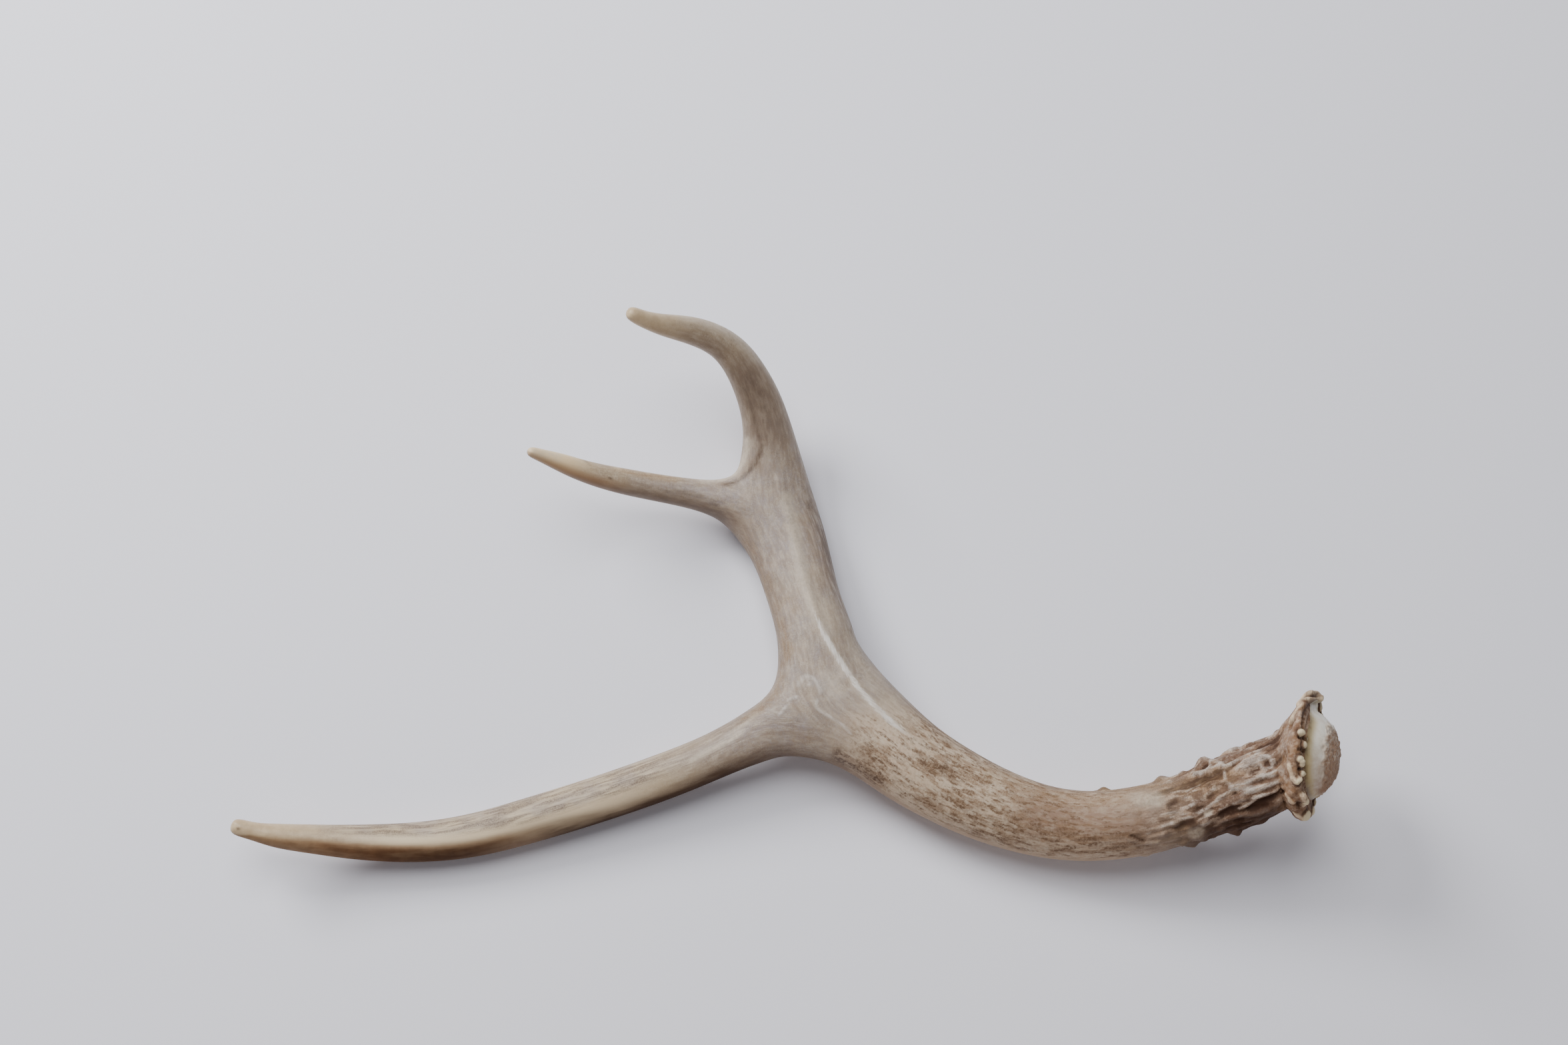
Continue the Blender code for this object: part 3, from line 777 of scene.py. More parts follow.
# %% Measure round the burr
RIM_FROM, RIM_FULL = 16.0, 19.0  # radius where the rim begins, and where it is whole
RIM_BACK, RIM_DEPTH = 1.5, 8.0  # its middle line lies this far back, and it ends this far off
BURR_AHEAD, BURR_DEPTH, BURR_RADIUS = 1.0, 12.0, 26.0  # of the burr's colours
level, high = from_burr @ burr_side, from_burr @ burr_top
radius_out = np.maximum(np.hypot(level, high), 0.1)  # never 0, as it is a divisor
rim_turn = np.arctan2(high, level)
outward = (level[:, None] * burr_side + high[:, None] * burr_top) / radius_out[:, None]
on_rim = fade(radius_out, RIM_FROM, RIM_FULL) * dome(ahead + RIM_BACK, RIM_DEPTH)
near_burr = dome(ahead - BURR_AHEAD, BURR_DEPTH) * (radius_out < BURR_RADIUS)
print("points on the rim:", int((on_rim > 0).sum()))

# %% [markdown]
# ## The shape of the rim
#
# The rim is no circle. It is drawn out at the ear and across from it, and drawn in
# underneath. Moving its points first, before any bead is set, means that the beads
# can be placed where they show on the finished rim.

# %% Draw out the rim
# turn, half width in degrees, and how far the rim moves out and forward there
RIM_REACHES = (
    (10, 26, 0.6, 0.2),
    (333, 26, -1.2, -1.2),
    (190, 22, 0.8, 0.0),
    (216, 22, -0.6, -1.0),
    (238, 34, -1.6, -0.8),
)
RIM_WAVE, RIM_WAVES, RIM_SEED = 1.0, 1.6, 4.0  # height of its slow waves, and waves to a radian
wave = perlin(round_about(rim_turn, RIM_WAVES, np.full(len(points), RIM_SEED)))
out_by = RIM_WAVE * wave * on_rim
forward_by = np.zeros(len(points))
for at_turn, half_width, out, forward in RIM_REACHES:
    near = dome(apart(rim_turn, at_turn), math.radians(half_width)) * on_rim
    out_by += out * near
    forward_by += forward * near
reached = points + outward * out_by[:, None] + facing * forward_by[:, None]
print("rim drawn out by up to", round(float(out_by.max()), 2), "mm")

# %% [markdown]
# ## Beads
#
# The burr is set with beads of bone, grown together at their feet. Beads could be
# added as balls, but they would stay balls. Half balls raised out of the skin keep
# the web between them. Those that show are placed one by one, and beads of four
# sizes follow one another round the side that nothing is known of.

# %% Set the burr with beads
# turn, radius, ahead, and the bead's own radius and height
BEADS = (
    (78, 19.5, 0.3, 1.5, 1.3),
    (88, 17.4, 1.0, 1.5, 1.5),
    (103, 19.2, 0.5, 1.4, 1.2),
    (108, 18.3, 0.9, 1.4, 1.2),
    (118, 18.0, 1.0, 1.3, 1.3),
    (121, 16.4, 1.2, 1.2, 1.1),
    (124, 19.6, 0.1, 1.5, 0.7),
    (360, 18.8, 1.2, 1.2, 0.8),
    (152, 18.4, 0.8, 1.3, 0.8),
    (176, 19.9, 0.2, 2.0, 0.9),
    (199, 19.0, 0.8, 2.2, 1.0),
    (211, 17.0, 0.8, 1.6, 1.0),
)
PLAIN_BEADS = range(224, 350, 11)  # turns
PLAIN_RADII = (1.8, 2.4, 1.9, 2.2)
PLAIN_PLACE = (18.4, 0.5)  # radius and ahead
PLAIN_HEIGHT = 1.3
GAP_SPREAD = 2.2  # how far the dirt round a bead reaches, in its radii


def on_rim_at(turn_degrees, radius, ahead_of):
    """A point of the burr in the tables' frame."""
    angle = math.radians(turn_degrees)
    across = burr_side * math.cos(angle) + burr_top * math.sin(angle)
    return np.array(BURR_MIDDLE) + facing * ahead_of + across * radius


plain_beads = tuple(
    (at_turn, *PLAIN_PLACE, PLAIN_RADII[i % len(PLAIN_RADII)], PLAIN_HEIGHT)
    for i, at_turn in enumerate(PLAIN_BEADS)
)
beads, gaps, folds, rim_rise = np.zeros((4, len(points)))
for at_turn, radius, at_ahead, bead_radius, height in BEADS + plain_beads:
    distance = np.linalg.norm(reached - on_rim_at(at_turn, radius, at_ahead), axis=1)
    stroke = half_ball(distance, bead_radius)
    rim_rise += height * stroke
    np.maximum(beads, stroke, out=beads)
    np.maximum(gaps, dome(distance, GAP_SPREAD * bead_radius), out=gaps)
print("beads:", len(BEADS), "placed and", len(plain_beads), "plain")

# %% [markdown]
# ## Folds and slits
#
# Between the beads the rim is pinched into folds, the largest curled into an ear on
# the +Y side, with dark slits behind them. They are lines in space, drawn by turn,
# radius and ahead. A ripple of noise keeps the bone between them from looking cast.

# %% Fold and slit the rim
# height, half width, and corners as turn, radius and distance ahead
RIM_LINES = (
    (0.9, 1.1, (
        (109, 19.7, -2.7), (115, 20.0, -2.2), (120, 20.3, -1.7), (124, 20.2, -0.7), (122, 19.4, 0.2),
    )),
    (1.0, 1.1, ((136, 15.8, 1.2), (145, 16.2, 1.2), (148, 17.2, 0.9), (142, 18.9, 0.6))),
    (1.0, 1.2, ((140, 19.2, 0.6), (146, 19.1, 0.8), (153, 18.2, 1.0), (156, 19.4, 0.6))),
    (0.8, 1.2, ((140, 19.7, -3.8), (143, 20.2, -3.2), (147, 20.7, -2.4), (149, 20.7, -1.2))),
    (0.7, 1.2, ((165, 20.8, -2.4), (173, 21.0, -1.4), (179, 20.7, -0.2), (178, 19.3, 0.6))),
    (0.9, 1.2, ((28, 19.2, -2.6), (22, 20.2, -1.3), (14, 20.5, 0.0), (4, 20.3, 0.5), (352, 19.8, 0.5))),
    (1.2, 1.3, (
        (42, 19.2, -2.6), (36, 19.6, -1.4), (31, 19.3, -0.1), (26, 18.6, 0.8), (14, 18.5, 1.0),
        (2, 18.8, 1.1),
    )),
    (0.7, 1.4, ((44, 20.0, -1.6), (51, 19.6, -2.5), (57, 18.8, -3.3), (64, 18.2, -3.9))),
)
RIM_GROOVES = (
    (1.5, 1.9, ((150, 20.6, -0.6), (155, 20.2, 0.0))),
    (1.5, 1.0, ((158, 15.6, 0.8), (170, 16.4, 0.9), (180, 17.7, 0.9), (189, 19.7, 0.6), (192, 21.0, -0.8))),
    (0.9, 1.2, ((27, 19.9, -1.0), (20, 19.7, 0.2), (8, 19.5, 0.8))),
    (1.3, 2.2, ((8, 17.6, 0.9), (24, 17.8, 1.0), (40, 18.2, 0.6), (50, 18.8, 0.3), (58, 18.9, 0.4))),
    (1.3, 1.6, ((62, 19.0, 0.6), (70, 18.8, 0.7))),
    (0.8, 1.5, ((64, 18.9, -3.2), (71, 18.7, -3.5))),
    (1.0, 1.2, ((82, 19.6, 0.2), (80, 17.0, 0.9), (78, 15.2, 1.0))),
    (0.8, 1.0, ((94, 19.6, 0.2), (94, 17.6, 0.9), (95, 15.4, 1.0))),
    (0.9, 0.9, ((113, 19.2, 0.5), (114, 17.0, 1.1), (115, 15.2, 1.2))),
    (0.9, 1.1, ((127, 18.9, 0.7), (127, 16.6, 1.1))),
)
FOLD_SPREAD = 1.2  # a fold is this much wider than its line says
RIPPLES = ((2.6, 0.5), (1.2, 0.2))  # size and height
for height, half_width, corners in RIM_LINES:
    stroke = dome(from_line(reached, [on_rim_at(*c) for c in corners]), half_width * FOLD_SPREAD)
    rim_rise += height * stroke
    np.maximum(folds, stroke, out=folds)
for depth, half_width, corners in RIM_GROOVES:
    stroke = dome(from_line(reached, [on_rim_at(*c) for c in corners]), half_width)
    rim_rise -= depth * stroke
    np.maximum(hollows, stroke, out=hollows)
rim_rise += sum(perlin(points / size) * height for size, height in RIPPLES) * on_rim
print("rim relief, mm:", round(float(rim_rise.min()), 2), "to", round(float(rim_rise.max()), 2))

# %% [markdown]
# ## The seal
#
# The seal is the pale, spongy face where the antler let go of the skull. It is
# smooth round its shoulder, crusty where it broke, and under the ear a collar of
# fibres holds it. The break is a noise with a steep edge; the fibres are a wave
# round the axis, because they are too many and too even to draw.

# %% Crust the seal
SEAL_RADIUS, SEAL_BACK = 14.8, -0.6
COLLAR_TURN, COLLAR_HALF_WIDTH, COLLAR_REACH = 8, 40, 3.2  # the fibres under the ear
FIBRES, FIBRE_HEIGHT = 56, 0.16  # fibres to a whole turn
FIBRE_RADIUS, FIBRE_REACH, FIBRE_BACK = 15.0, 3.5, -1.0
CRUST_RADIUS = 11.4
CRUST_EDGE, CRUST_EDGE_SIZE = 2.6, 3.0  # how uneven its edge is
CRUST_TURN, CRUST_REACH = 185, 2.2  # where it goes further, and how much
CRUST_DEPTH, CRUST_LIFT = 0.45, 0.25
SPONGES = ((1.5, 1.0), (0.7, 0.6))  # size and share of the crust's two noises
SEAL_WAVE, SEAL_WAVE_SIZE = 0.25, 4.0
collar = dome(apart(rim_turn, COLLAR_TURN), math.radians(COLLAR_HALF_WIDTH))
seal_edge = SEAL_RADIUS + COLLAR_REACH * collar
seal = fade(seal_edge - radius_out, 0, 1.2) * (ahead > SEAL_BACK)
junction = fade(radius_out - seal_edge, -3, 0.6) * (1 - 0.6 * collar)
# darker towards the seal's -Y side: painted shade
seal_low = fade(level, 4, -14)
crust_edge = CRUST_RADIUS + perlin(points / CRUST_EDGE_SIZE) * CRUST_EDGE
crust_edge += CRUST_REACH * dome(apart(rim_turn, CRUST_TURN), 0.9)
crust = fade(crust_edge - radius_out, 0, 1.2) * seal
crust_tone = fade(crust_edge - radius_out, -0.8, 2.8) * seal
sponge = sum(perlin(points / size) * share for size, share in SPONGES) + CRUST_LIFT
fibres = np.cos(rim_turn * FIBRES) * dome(radius_out - FIBRE_RADIUS, FIBRE_REACH) * collar
fibres *= ahead > FIBRE_BACK
seal_rise = sponge * CRUST_DEPTH * crust + FIBRE_HEIGHT * fibres
seal_rise += perlin(points / SEAL_WAVE_SIZE) * SEAL_WAVE * seal
print("seal:", round(float(seal.sum() / len(points)), 3), "of the points")

# %% [markdown]
# ## Into the mesh
#
# The strokes are added up and the points move along their normals, which a
# displacement in the material would do only for the render. The points are held
# inside the packed model's box, which matters only at its very edges, by a third of
# a millimetre at most.

# %% Move the points
moved = reached + normals * (rise + rim_rise + seal_rise)[:, None]
placed = (moved - np.array(TABLE_ORIGIN)) * MM
low_corner, high_corner = (np.array(corner) for corner in cad_box)
overshoot = np.maximum(low_corner - placed, placed - high_corner).max()
placed = np.clip(placed, low_corner, high_corner)
antler.data.vertices.foreach_set("co", placed.ravel())
antler.data.shade_smooth()
antler.data.update()
print("held back by at most", round(float(overshoot / MM), 2), "mm")

# %% [markdown]
# ## Notes on the mesh for the paint
#
# The colours depend on the same strokes: ridges are worn pale, hollows hold dirt
# and dried blood. A painted texture would need the skin unfolded, and blurs up
# close. Instead each mask is written on the points as a named attribute, which the
# materials read, and which stays on the bone when it moves.

# %% Write the masks of wear
RELIEF_BASE, RELIEF_SPAN = 0.55, 1.7  # 0 is this far below the plain skin, 1 this far above 0


def note(**masks):
    """Writes masks on the points, each under its own name."""
    for name, values in masks.items():
        attribute = antler.data.attributes.new(name, "FLOAT", "POINT")
        attribute.data.foreach_set("value", values.astype(np.float32))


def note_places(**places):
    for name, values in places.items():
        attribute = antler.data.attributes.new(name, "FLOAT_VECTOR", "POINT")
        attribute.data.foreach_set("vector", values.astype(np.float32).ravel())


note_places(main_grain=main_grain, side_grain=side_grain)
note(side_share=side_share, pale=pale, hollow=hollows, worn=worn, vessel=vessels)
note(relief=np.clip((bark + lines + RELIEF_BASE) / RELIEF_SPAN, 0, 1))
note(burr=near_burr, bead=beads, fold=folds, gap=gaps * (1 - beads) * (1 - folds))
note(crust=crust, crust_tone=crust_tone, junction=junction, seal_low=seal_low)
print("attributes with the masks of wear:", len(antler.data.attributes))

# %% [markdown]
# ## Small marks, touched in
#
# Stains, bare spots and clusters of flecks that catch the eye lie where they do on
# the real antler. Some of the touches are painted light instead: shade in the crease
# of the second fork and on the top tine's shaft, and highlights on knobs of the
# lower beam. Each is a soft line seen from above, like the crest, with a half
# width and a strength. One table holds the marks of one colour.

# %% Touch in the small marks
# half width, strength, and a line in x and y
DARK_TOUCHES = (
    # The first two, along the crease of the second fork and the inner edge of the top tine, are painted
    # shade.
    (1.4, 0.9, ((-21.1, 35.4), (-15.5, 37.0), (-11.3, 41.0), (-8.8, 44.3), (-7.6, 48.3))),
    (1.3, 0.5, ((-7.6, 48.3), (-10.6, 58.7), (-13.5, 66.1))),
    (4.5, 0.3, ((-12.2, 69.5), (-9.6, 65.0))),
    (1.8, 0.5, ((-6.9, 60.4), (-6.7, 59.8))),
    (1.6, 0.6, ((8.6, 30.4), (8.8, 28.4))),
    (1.7, 0.4, ((-22.2, 28.1), (-29.1, 32.0), (-40.5, 32.4))),
    (1.6, 0.5, ((13.0, 21.5), (15.2, 12.3), (16.5, 6.5))),
    (1.9, 0.9, ((127.4, -78.0), (128.6, -78.2))),
    (2.0, 0.8, ((133.0, -82.0), (134.4, -82.7))),
    (2.6, 0.4, ((124.0, -64.5), (126.0, -65.5))),
    (2.4, 0.35, ((147.0, -56.5), (149.0, -57.5))),
    (0.9, 0.9, ((-181.5, -83.5), (-181.3, -83.5))),
    (0.7, 0.9, ((-59.2, 35.0), (-59.1, 35.0))),
    (0.7, 0.5, ((-68.6, 41.2), (-66.4, 39.2))),
)
BROWN_TOUCHES = (
    # The first three, on the top tine's shaft and the lower side of its bend, are painted shade where the
    # tine turns away from the light.
    (13.0, 0.92, ((-13.0, 71.0), (-7.0, 62.5), (-5.0, 55.0))),
    (8.0, 0.4, ((-5.0, 55.0), (-7.0, 47.0), (-9.0, 43.0))),
    (5.0, 0.5, ((-39.9, 77.0), (-30.1, 76.5), (-21.0, 75.5))),
    (3.4, 0.45, ((-74.0, 36.5), (-69.0, 35.0), (-63.0, 33.0))),
    (15.0, 1.0, ((82.0, -78.0), (100.0, -82.0), (120.0, -82.0))),
    (4.0, 0.85, ((-59.4, 31.0), (-50.6, 30.6), (-44.1, 30.0), (-33.0, 28.2), (-24.1, 26.4), (-16.0, 23.0))),
    (4.0, 0.4, ((-13.0, 22.0), (-11.0, 14.0), (-8.0, 6.0), (-5.0, -4.0))),
)
LILAC_TOUCHES = (
    (10.0, 0.7, ((-9.9, 29.3), (-5.0, 20.0), (-1.1, 10.9))),
    (6.0, 0.9, ((-6.0, -47.0), (4.0, -50.0))),
    (6.0, 0.6, ((-40.0, -62.0), (-24.0, -58.0), (-10.0, -52.0))),
    (5.0, 0.8, ((-52.0, 35.5), (-41.8, 34.3), (-17.3, 31.3))),
    (6.0, 0.4, ((11.0, 22.0), (14.0, 8.0), (17.0, -3.0))),
)
DENSE_TOUCHES = (
    (4.6, 1.0, ((18.0, -58.6), (22.1, -60.7), (26.8, -63.6), (32.0, -66.6))),
    (5.5, 0.55, ((25.8, -55.8), (31.8, -61.1), (37.0, -63.0))),
    (5.0, 0.35, ((37.0, -68.0), (46.0, -73.0), (56.0, -78.0))),
    (9.0, 0.35, ((58.0, -76.0), (72.0, -83.0), (92.0, -86.0))),
    (4.0, 0.5, ((44.0, -60.0), (50.0, -64.0), (58.0, -66.0))),
    (5.0, 0.5, ((88.0, -87.0), (104.0, -88.5), (118.0, -87.0))),
    (3.0, 0.6, ((90.0, -67.0), (99.0, -68.0), (106.0, -66.5))),
)
GOLDEN_TOUCHES = (
    (3.0, 0.6, ((-14.4, 16.0), (-11.1, 15.4), (-8.8, 8.3), (-5.7, 0.8), (-3.5, -9.0), (-1.1, -15.1))),
    (3.0, 0.8, ((-1.1, -15.1), (0.5, -20.5), (1.0, -26.0))),
    (2.6, 0.5, ((1.1, -4.9), (3.5, -9.0))),
    (3.0, 0.7, ((-1.4, -24.0), (-1.3, -36.5), (-3.6, -39.7), (-8.1, -43.2), (-14.0, -47.0))),
    (2.4, 0.9, ((-56.0, 39.1), (-48.4, 37.7), (-37.6, 37.4))),
    (7.0, 0.5, ((118.0, -70.5), (134.0, -71.0), (146.0, -68.0))),
    (5.0, 0.45, ((66.0, -64.0), (84.0, -70.0), (100.0, -73.5), (112.0, -73.0))),
    (4.5, 0.7, ((108.0, -69.5), (116.0, -69.5), (125.0, -69.0))),
    (3.0, 0.6, ((129.5, -83.0), (132.0, -83.5))),
)
CREAM_TOUCHES = (
    (2.1, 1.0, (
        (-30.0, 37.6), (-22.3, 37.9), (-17.7, 39.9), (-14.6, 43.4), (-13.0, 47.8), (-13.0, 51.0),
    )),
    (3.4, 0.8, ((0.6, 32.3), (2.3, 24.6), (4.1, 15.5), (5.7, 5.6), (8.0, -2.8), (10.2, -10.0))),
    (5.0, 0.5, ((16.0, -18.0), (13.5, -8.0))),
    (4.5, 0.6, ((-34.0, 85.5), (-26.8, 85.1), (-16.6, 82.3), (-9.8, 77.1))),
    (1.6, 0.9, ((-32.0, -60.5), (-26.0, -57.4), (-19.3, -54.6), (-14.5, -51.4))),
    (1.1, 0.5, ((-22.0, -53.0), (-15.0, -50.0), (-10.0, -45.5))),
    (5.0, 0.4, ((44.0, -50.0), (34.0, -40.0), (26.0, -28.0), (18.0, -8.0))),
    # The next three, on knobs and a smooth patch of the lower beam, are pale bone with a painted highlight.
    (4.2, 0.75, ((117.0, -74.0), (123.5, -74.5))),
    (1.6, 0.8, ((138.5, -79.5), (139.5, -79.0))),
    (2.4, 0.7, ((134.0, -85.0), (137.0, -84.5))),
    (4.5, 0.6, ((17.7, -38.8), (15.0, -33.0))),
    (3.6, 0.7, ((-87.0, 41.6), (-77.0, 41.0))),
)
IVORY_TOUCHES = (
    (3.4, 0.75, ((-58.0, 40.0), (-49.0, 38.6), (-37.6, 38.0))),
    (3.0, 0.5, ((-83.0, 37.5), (-76.0, 36.5))),
)


def touched(touches):
    return np.maximum.reduce([
        strength * seen_from_above(corners, half_width) for half_width, strength, corners in touches
    ])


brown = touched(BROWN_TOUCHES)
note(dark=touched(DARK_TOUCHES), brown=brown, lilac=touched(LILAC_TOUCHES))
note(dense=touched(DENSE_TOUCHES), golden=touched(GOLDEN_TOUCHES), cream=touched(CREAM_TOUCHES))
print("brown touches cover", round(float((brown > 0).mean()), 2), "of the points")

# %% [markdown]
# ## Measures for large areas
#
# A buck rubs the tips on trees, and a shed antler is stained where it lies on wet
# ground; its lower sides are darkened further by painted shade. So large areas of
# colour follow two things: how far the bone is from a tip, and whether it faces
# down. Both come from the straightened coordinates, and a fade says at how many
# millimetres a colour starts and at how many it is whole.

# %% Measure from the tips and round the courses
DOWN = 205.0  # the turn that faces down and to the -Y side


def from_tip(grain, share):
    """How far each point of a course is from its tip."""
    return np.where(share > 0.5, grain[share > 0.5, 0].max() - grain[:, 0], np.inf)


def turn_of(grain):
    """The turn round a course in degrees, as for the pearls."""
    return np.degrees(np.arctan2(grain[:, 2], grain[:, 1]))


def underside(grain, share, tip_distance, edge_by_distance, softness):
    """1 on a course's lower side, from a turn that depends on the distance from its tip."""
    edge = np.interp(tip_distance, *zip(*edge_by_distance))
    off_down = np.abs((turn_of(grain) - DOWN + 180) % 360 - 180)
    return fade(DOWN - edge - off_down, -softness / 2, softness / 2) * share


main_share = 1 - side_share
from_long_tip = from_tip(long_grain, on_long)
from_front_tip = from_tip(front_grain, on_front)
from_top_tip = from_tip(main_grain, main_share)
print("long tine:", round(float(from_long_tip[on_long > 0.5].max())), "mm with its root")

# %% [markdown]
# ## The colours of the long tine
#
# The long tine is ivory on top and streaked along the grain. Near its tip the
# underside is stained brown, darkened towards the bottom by painted shade; further
# up it is painted shade, partly stain, with a painted dark edge. One straight border
# would look dipped in paint, so the border's turn changes along the tine, as a row
# of pairs.

# %% Stain the long tine
# distance from the tip, and the turn where the stain and the painted shade begin
STAIN_AND_SHADE_BORDER = (
    (0, 190), (3, 150), (7, 118), (14, 104), (26, 96), (38, 101), (50, 106), (62, 110), (77, 114),
    (104, 116), (113, 118), (132, 138), (152, 132), (165, 126), (190, 130), (220, 150),
)
LINE_BORDER = ((0, 158), (220, 158))
long_distance = np.minimum(from_long_tip, STAIN_AND_SHADE_BORDER[-1][0])


def under_long(border, softness):
    return underside(long_grain, on_long, long_distance, border, softness)


far = fade(from_long_tip, 70, 120)
root = fade(from_long_tip, 160, 200) * on_long
stain = under_long(STAIN_AND_SHADE_BORDER, 38) * (1 - far)
# the stain darkened towards the bottom: painted shade
deep = under_long(STAIN_AND_SHADE_BORDER, 90) * stain * fade(from_long_tip, 20, 80)
stain *= 0.66 + 0.34 * fade(from_long_tip, 12, 52)
# painted shade on the underside further from the tip, partly stain
shade = under_long(STAIN_AND_SHADE_BORDER, 46) * far * (1 - 0.4 * root)
# a painted dark line along the lower edge: painted shade
edge_line = under_long(LINE_BORDER, 34) * far * (1 - 0.7 * root)
streaky_reach = np.interp(long_distance, (20, 60, 100), (50, 66, 90))
streaky = fade(streaky_reach - np.abs(turn_of(long_grain) - 20), 0, 24) * on_long
streaky *= fade(from_long_tip, 18, 48)
band = on_long * (1 - streaky) * fade(from_long_tip, 170, 110) * fade(from_long_tip, 30, 60)
note(stain=stain, deep=deep, shade=shade, edge_line=edge_line, band=band)
note(streaky=streaky, tined=streaky * fade(x, -18, -52))
print("stained points:", int((stain > 0.5).sum()))

# %% [markdown]
# ## The colours of the front tine
#
# The front tine has a dusky underside, and its last few centimetres are peach below
# and bare as a nail above. The same border of pairs makes both.

# %% Stain the front tine
DUSK_BORDER = ((0, 190), (20, 150), (60, 138), (90, 150))
PEACH_BORDER = ((0, 112), (90, 112))
front_distance = np.minimum(from_front_tip, DUSK_BORDER[-1][0])
dusk = underside(front_grain, on_front, front_distance, DUSK_BORDER, 50)
peach = underside(front_grain, on_front, front_distance, PEACH_BORDER, 60)
note(dusk=dusk, peach=peach * fade(from_front_tip, 42, 24), bare_tip=fade(from_front_tip, 30, 6))
print("dusky points:", int((dusk > 0.5).sum()))

# %% [markdown]
# ## The colours of the beam and the forks
#
# The tips are ivory, the forks grey, and the beam between the first fork and its
# rough foot is flecked with brown, with a plain belly whose warm blush is partly
# painted reflected light. Along its level edges run dark hairs. The underside of
# the rough foot is darker, partly real brown and partly painted shade. Stained,
# shaded and flecked bone is dull, and bare bone shines a little.

# %% Lay out the beam and the forks
FORKS = (((6, -32), 58, 18), ((-6, 24), 46, 16))  # x and y, and where the grey begins and is full
BELLY_TURN, BELLY_REACH, BELLY_SOFTNESS = 210, math.radians(40), 0.15
FRINGES = ((6, 42), (10, 55), (190, 45))  # turn and half width of the beam's, and the fork's two
UNDER_TURN = 215
grey = np.maximum.reduce([
    fade(np.hypot(x - at[0], y - at[1]), start, end) for at, start, end in FORKS
])
ivory = np.maximum.reduce([
    fade(from_top_tip, 33, 3),
    fade(from_long_tip, 66, 6),
    fade(from_front_tip, 25.3, 3.3),
    0.6 * band,
    touched(IVORY_TOUCHES),
])
rough = fade(run, 70, 34) * (x > 60)
flecked = fade(x, 12, 34) * fade(y, -38, -50) * (1 - rough)
# the belly: plain, with a warm blush that is partly painted reflected light from below
belly = fade(np.abs(apart(turn, BELLY_TURN)), BELLY_REACH + BELLY_SOFTNESS, BELLY_REACH)
belly *= fade(x, 6, 36) * fade(x, 134, 110)
beam_fringe, *fork_fringes = (dome(apart(turn, at), math.radians(wide)) for at, wide in FRINGES)
fork_fringe = np.maximum(*fork_fringes) * fade(y, -30, -16) * fade(y, 38, 18) * main_share
fringe = np.maximum(beam_fringe * fade(x, 30, 50) * fade(x, 142, 126), fork_fringe)
# the underside of the rough foot, darkened in the paint: partly real brown, partly painted shade
under = fade(np.abs(np.degrees(apart(turn, UNDER_TURN))), 102, 72) * rough
dull = np.maximum.reduce([stain, shade, edge_line, 0.65 * rough, 0.6 * flecked])
note(grey=grey, ivory=ivory, rough=rough, fringe=fringe, under=under, dull=dull)
note(flecked=flecked * (1 - 0.9 * belly), belly=belly * (1 - rough))
print("attributes:", len(antler.data.attributes))

# %% [markdown]
# ## A shorthand for node trees
#
# Node trees are usually wired by hand in the shader editor. Written down, each
# node becomes one line: its type, what goes into it, and its settings. An input
# that is given a socket is linked, one that is given a name reads the mask of that
# name, and any other value is typed in.

# %% Define the shorthand
class Nodes:
    """Puts nodes into a tree, one to a line."""

    def __init__(self, tree):
        self.tree = tree

    def read(self, name, output="Fac"):
        return self.put("ShaderNodeAttribute", attribute_name=name).outputs[output]

    def plug(self, socket, value):
        if isinstance(value, str):
            value = self.read(value)
        if isinstance(value, bpy.types.NodeSocket):
            self.tree.links.new(value, socket)
        else:
            socket.default_value = value

    def put(self, kind, inputs=(), **settings):
        node = self.tree.nodes.new(kind)
        for key, value in settings.items():
            setattr(node, key, value)
        for key, value in dict(inputs).items():
            self.plug(node.inputs[key], value)
        return node

    def reckon(self, operation, a, b):
        return self.put("ShaderNodeMath", {0: a, 1: b}, operation=operation).outputs[0]

    def times(self, first, *others):
        """Masks multiplied with each other."""
        for other in others:
            first = self.reckon("MULTIPLY", first, other)
        return first

    def ramp(self, value, low, high, to_low=0.0, to_high=1.0):
        """A soft step between two limits."""
        limits = {"Value": value, "From Min": low, "From Max": high, "To Min": to_low, "To Max": to_high}
        return self.put("ShaderNodeMapRange", limits, interpolation_type="SMOOTHSTEP").outputs[0]

    def between(self, share, a, b):
        """Two values, mixed by a share."""
        return self.put("ShaderNodeMix", {0: share, 2: a, 3: b}, data_type="FLOAT").outputs[0]

    def blend(self, share, a, b):
        """Two colours, mixed by a share."""
        return self.put("ShaderNodeMix", {0: share, 6: a, 7: b}, data_type="RGBA").outputs[2]

    def coat(self, colour, tone, *masks):
        """A tone laid over a colour through masks. A number among them thins it."""
        return self.blend(self.times(*masks), colour, tone)


def new_group(name, inputs, outputs):
    """An empty node group with named inputs and outputs."""
    tree = bpy.data.node_groups.new(name, "ShaderNodeTree")
    for key, value in inputs.items():
        kind = "NodeSocketVector" if value is None else "NodeSocketFloat"
        socket = tree.interface.new_socket(key, in_out="INPUT", socket_type=kind)
        if value is not None:
            socket.default_value = value
    for key in outputs:
        tree.interface.new_socket(key, in_out="OUTPUT", socket_type="NodeSocketFloat")
    nodes = Nodes(tree)
    return nodes, nodes.put("NodeGroupInput").outputs, nodes.put("NodeGroupOutput").inputs


print("shorthand:", [name for name in vars(Nodes) if not name.startswith("_")])

# %% [markdown]
# ## Streaks along the grain
#
# Bone is laid down in long fibres, so nearly every mark on an antler is longer
# than wide. This group squeezes the straightened coordinates before it looks up a
# noise, and returns a mask of streaks of a given width and length that cover about
# a given part of the surface. Flecks are only short streaks.

# %% Make the streaks group
MIDDLE_COVER, COVER_SLOPE = 0.68, 0.36  # the noise level that leaves a given cover


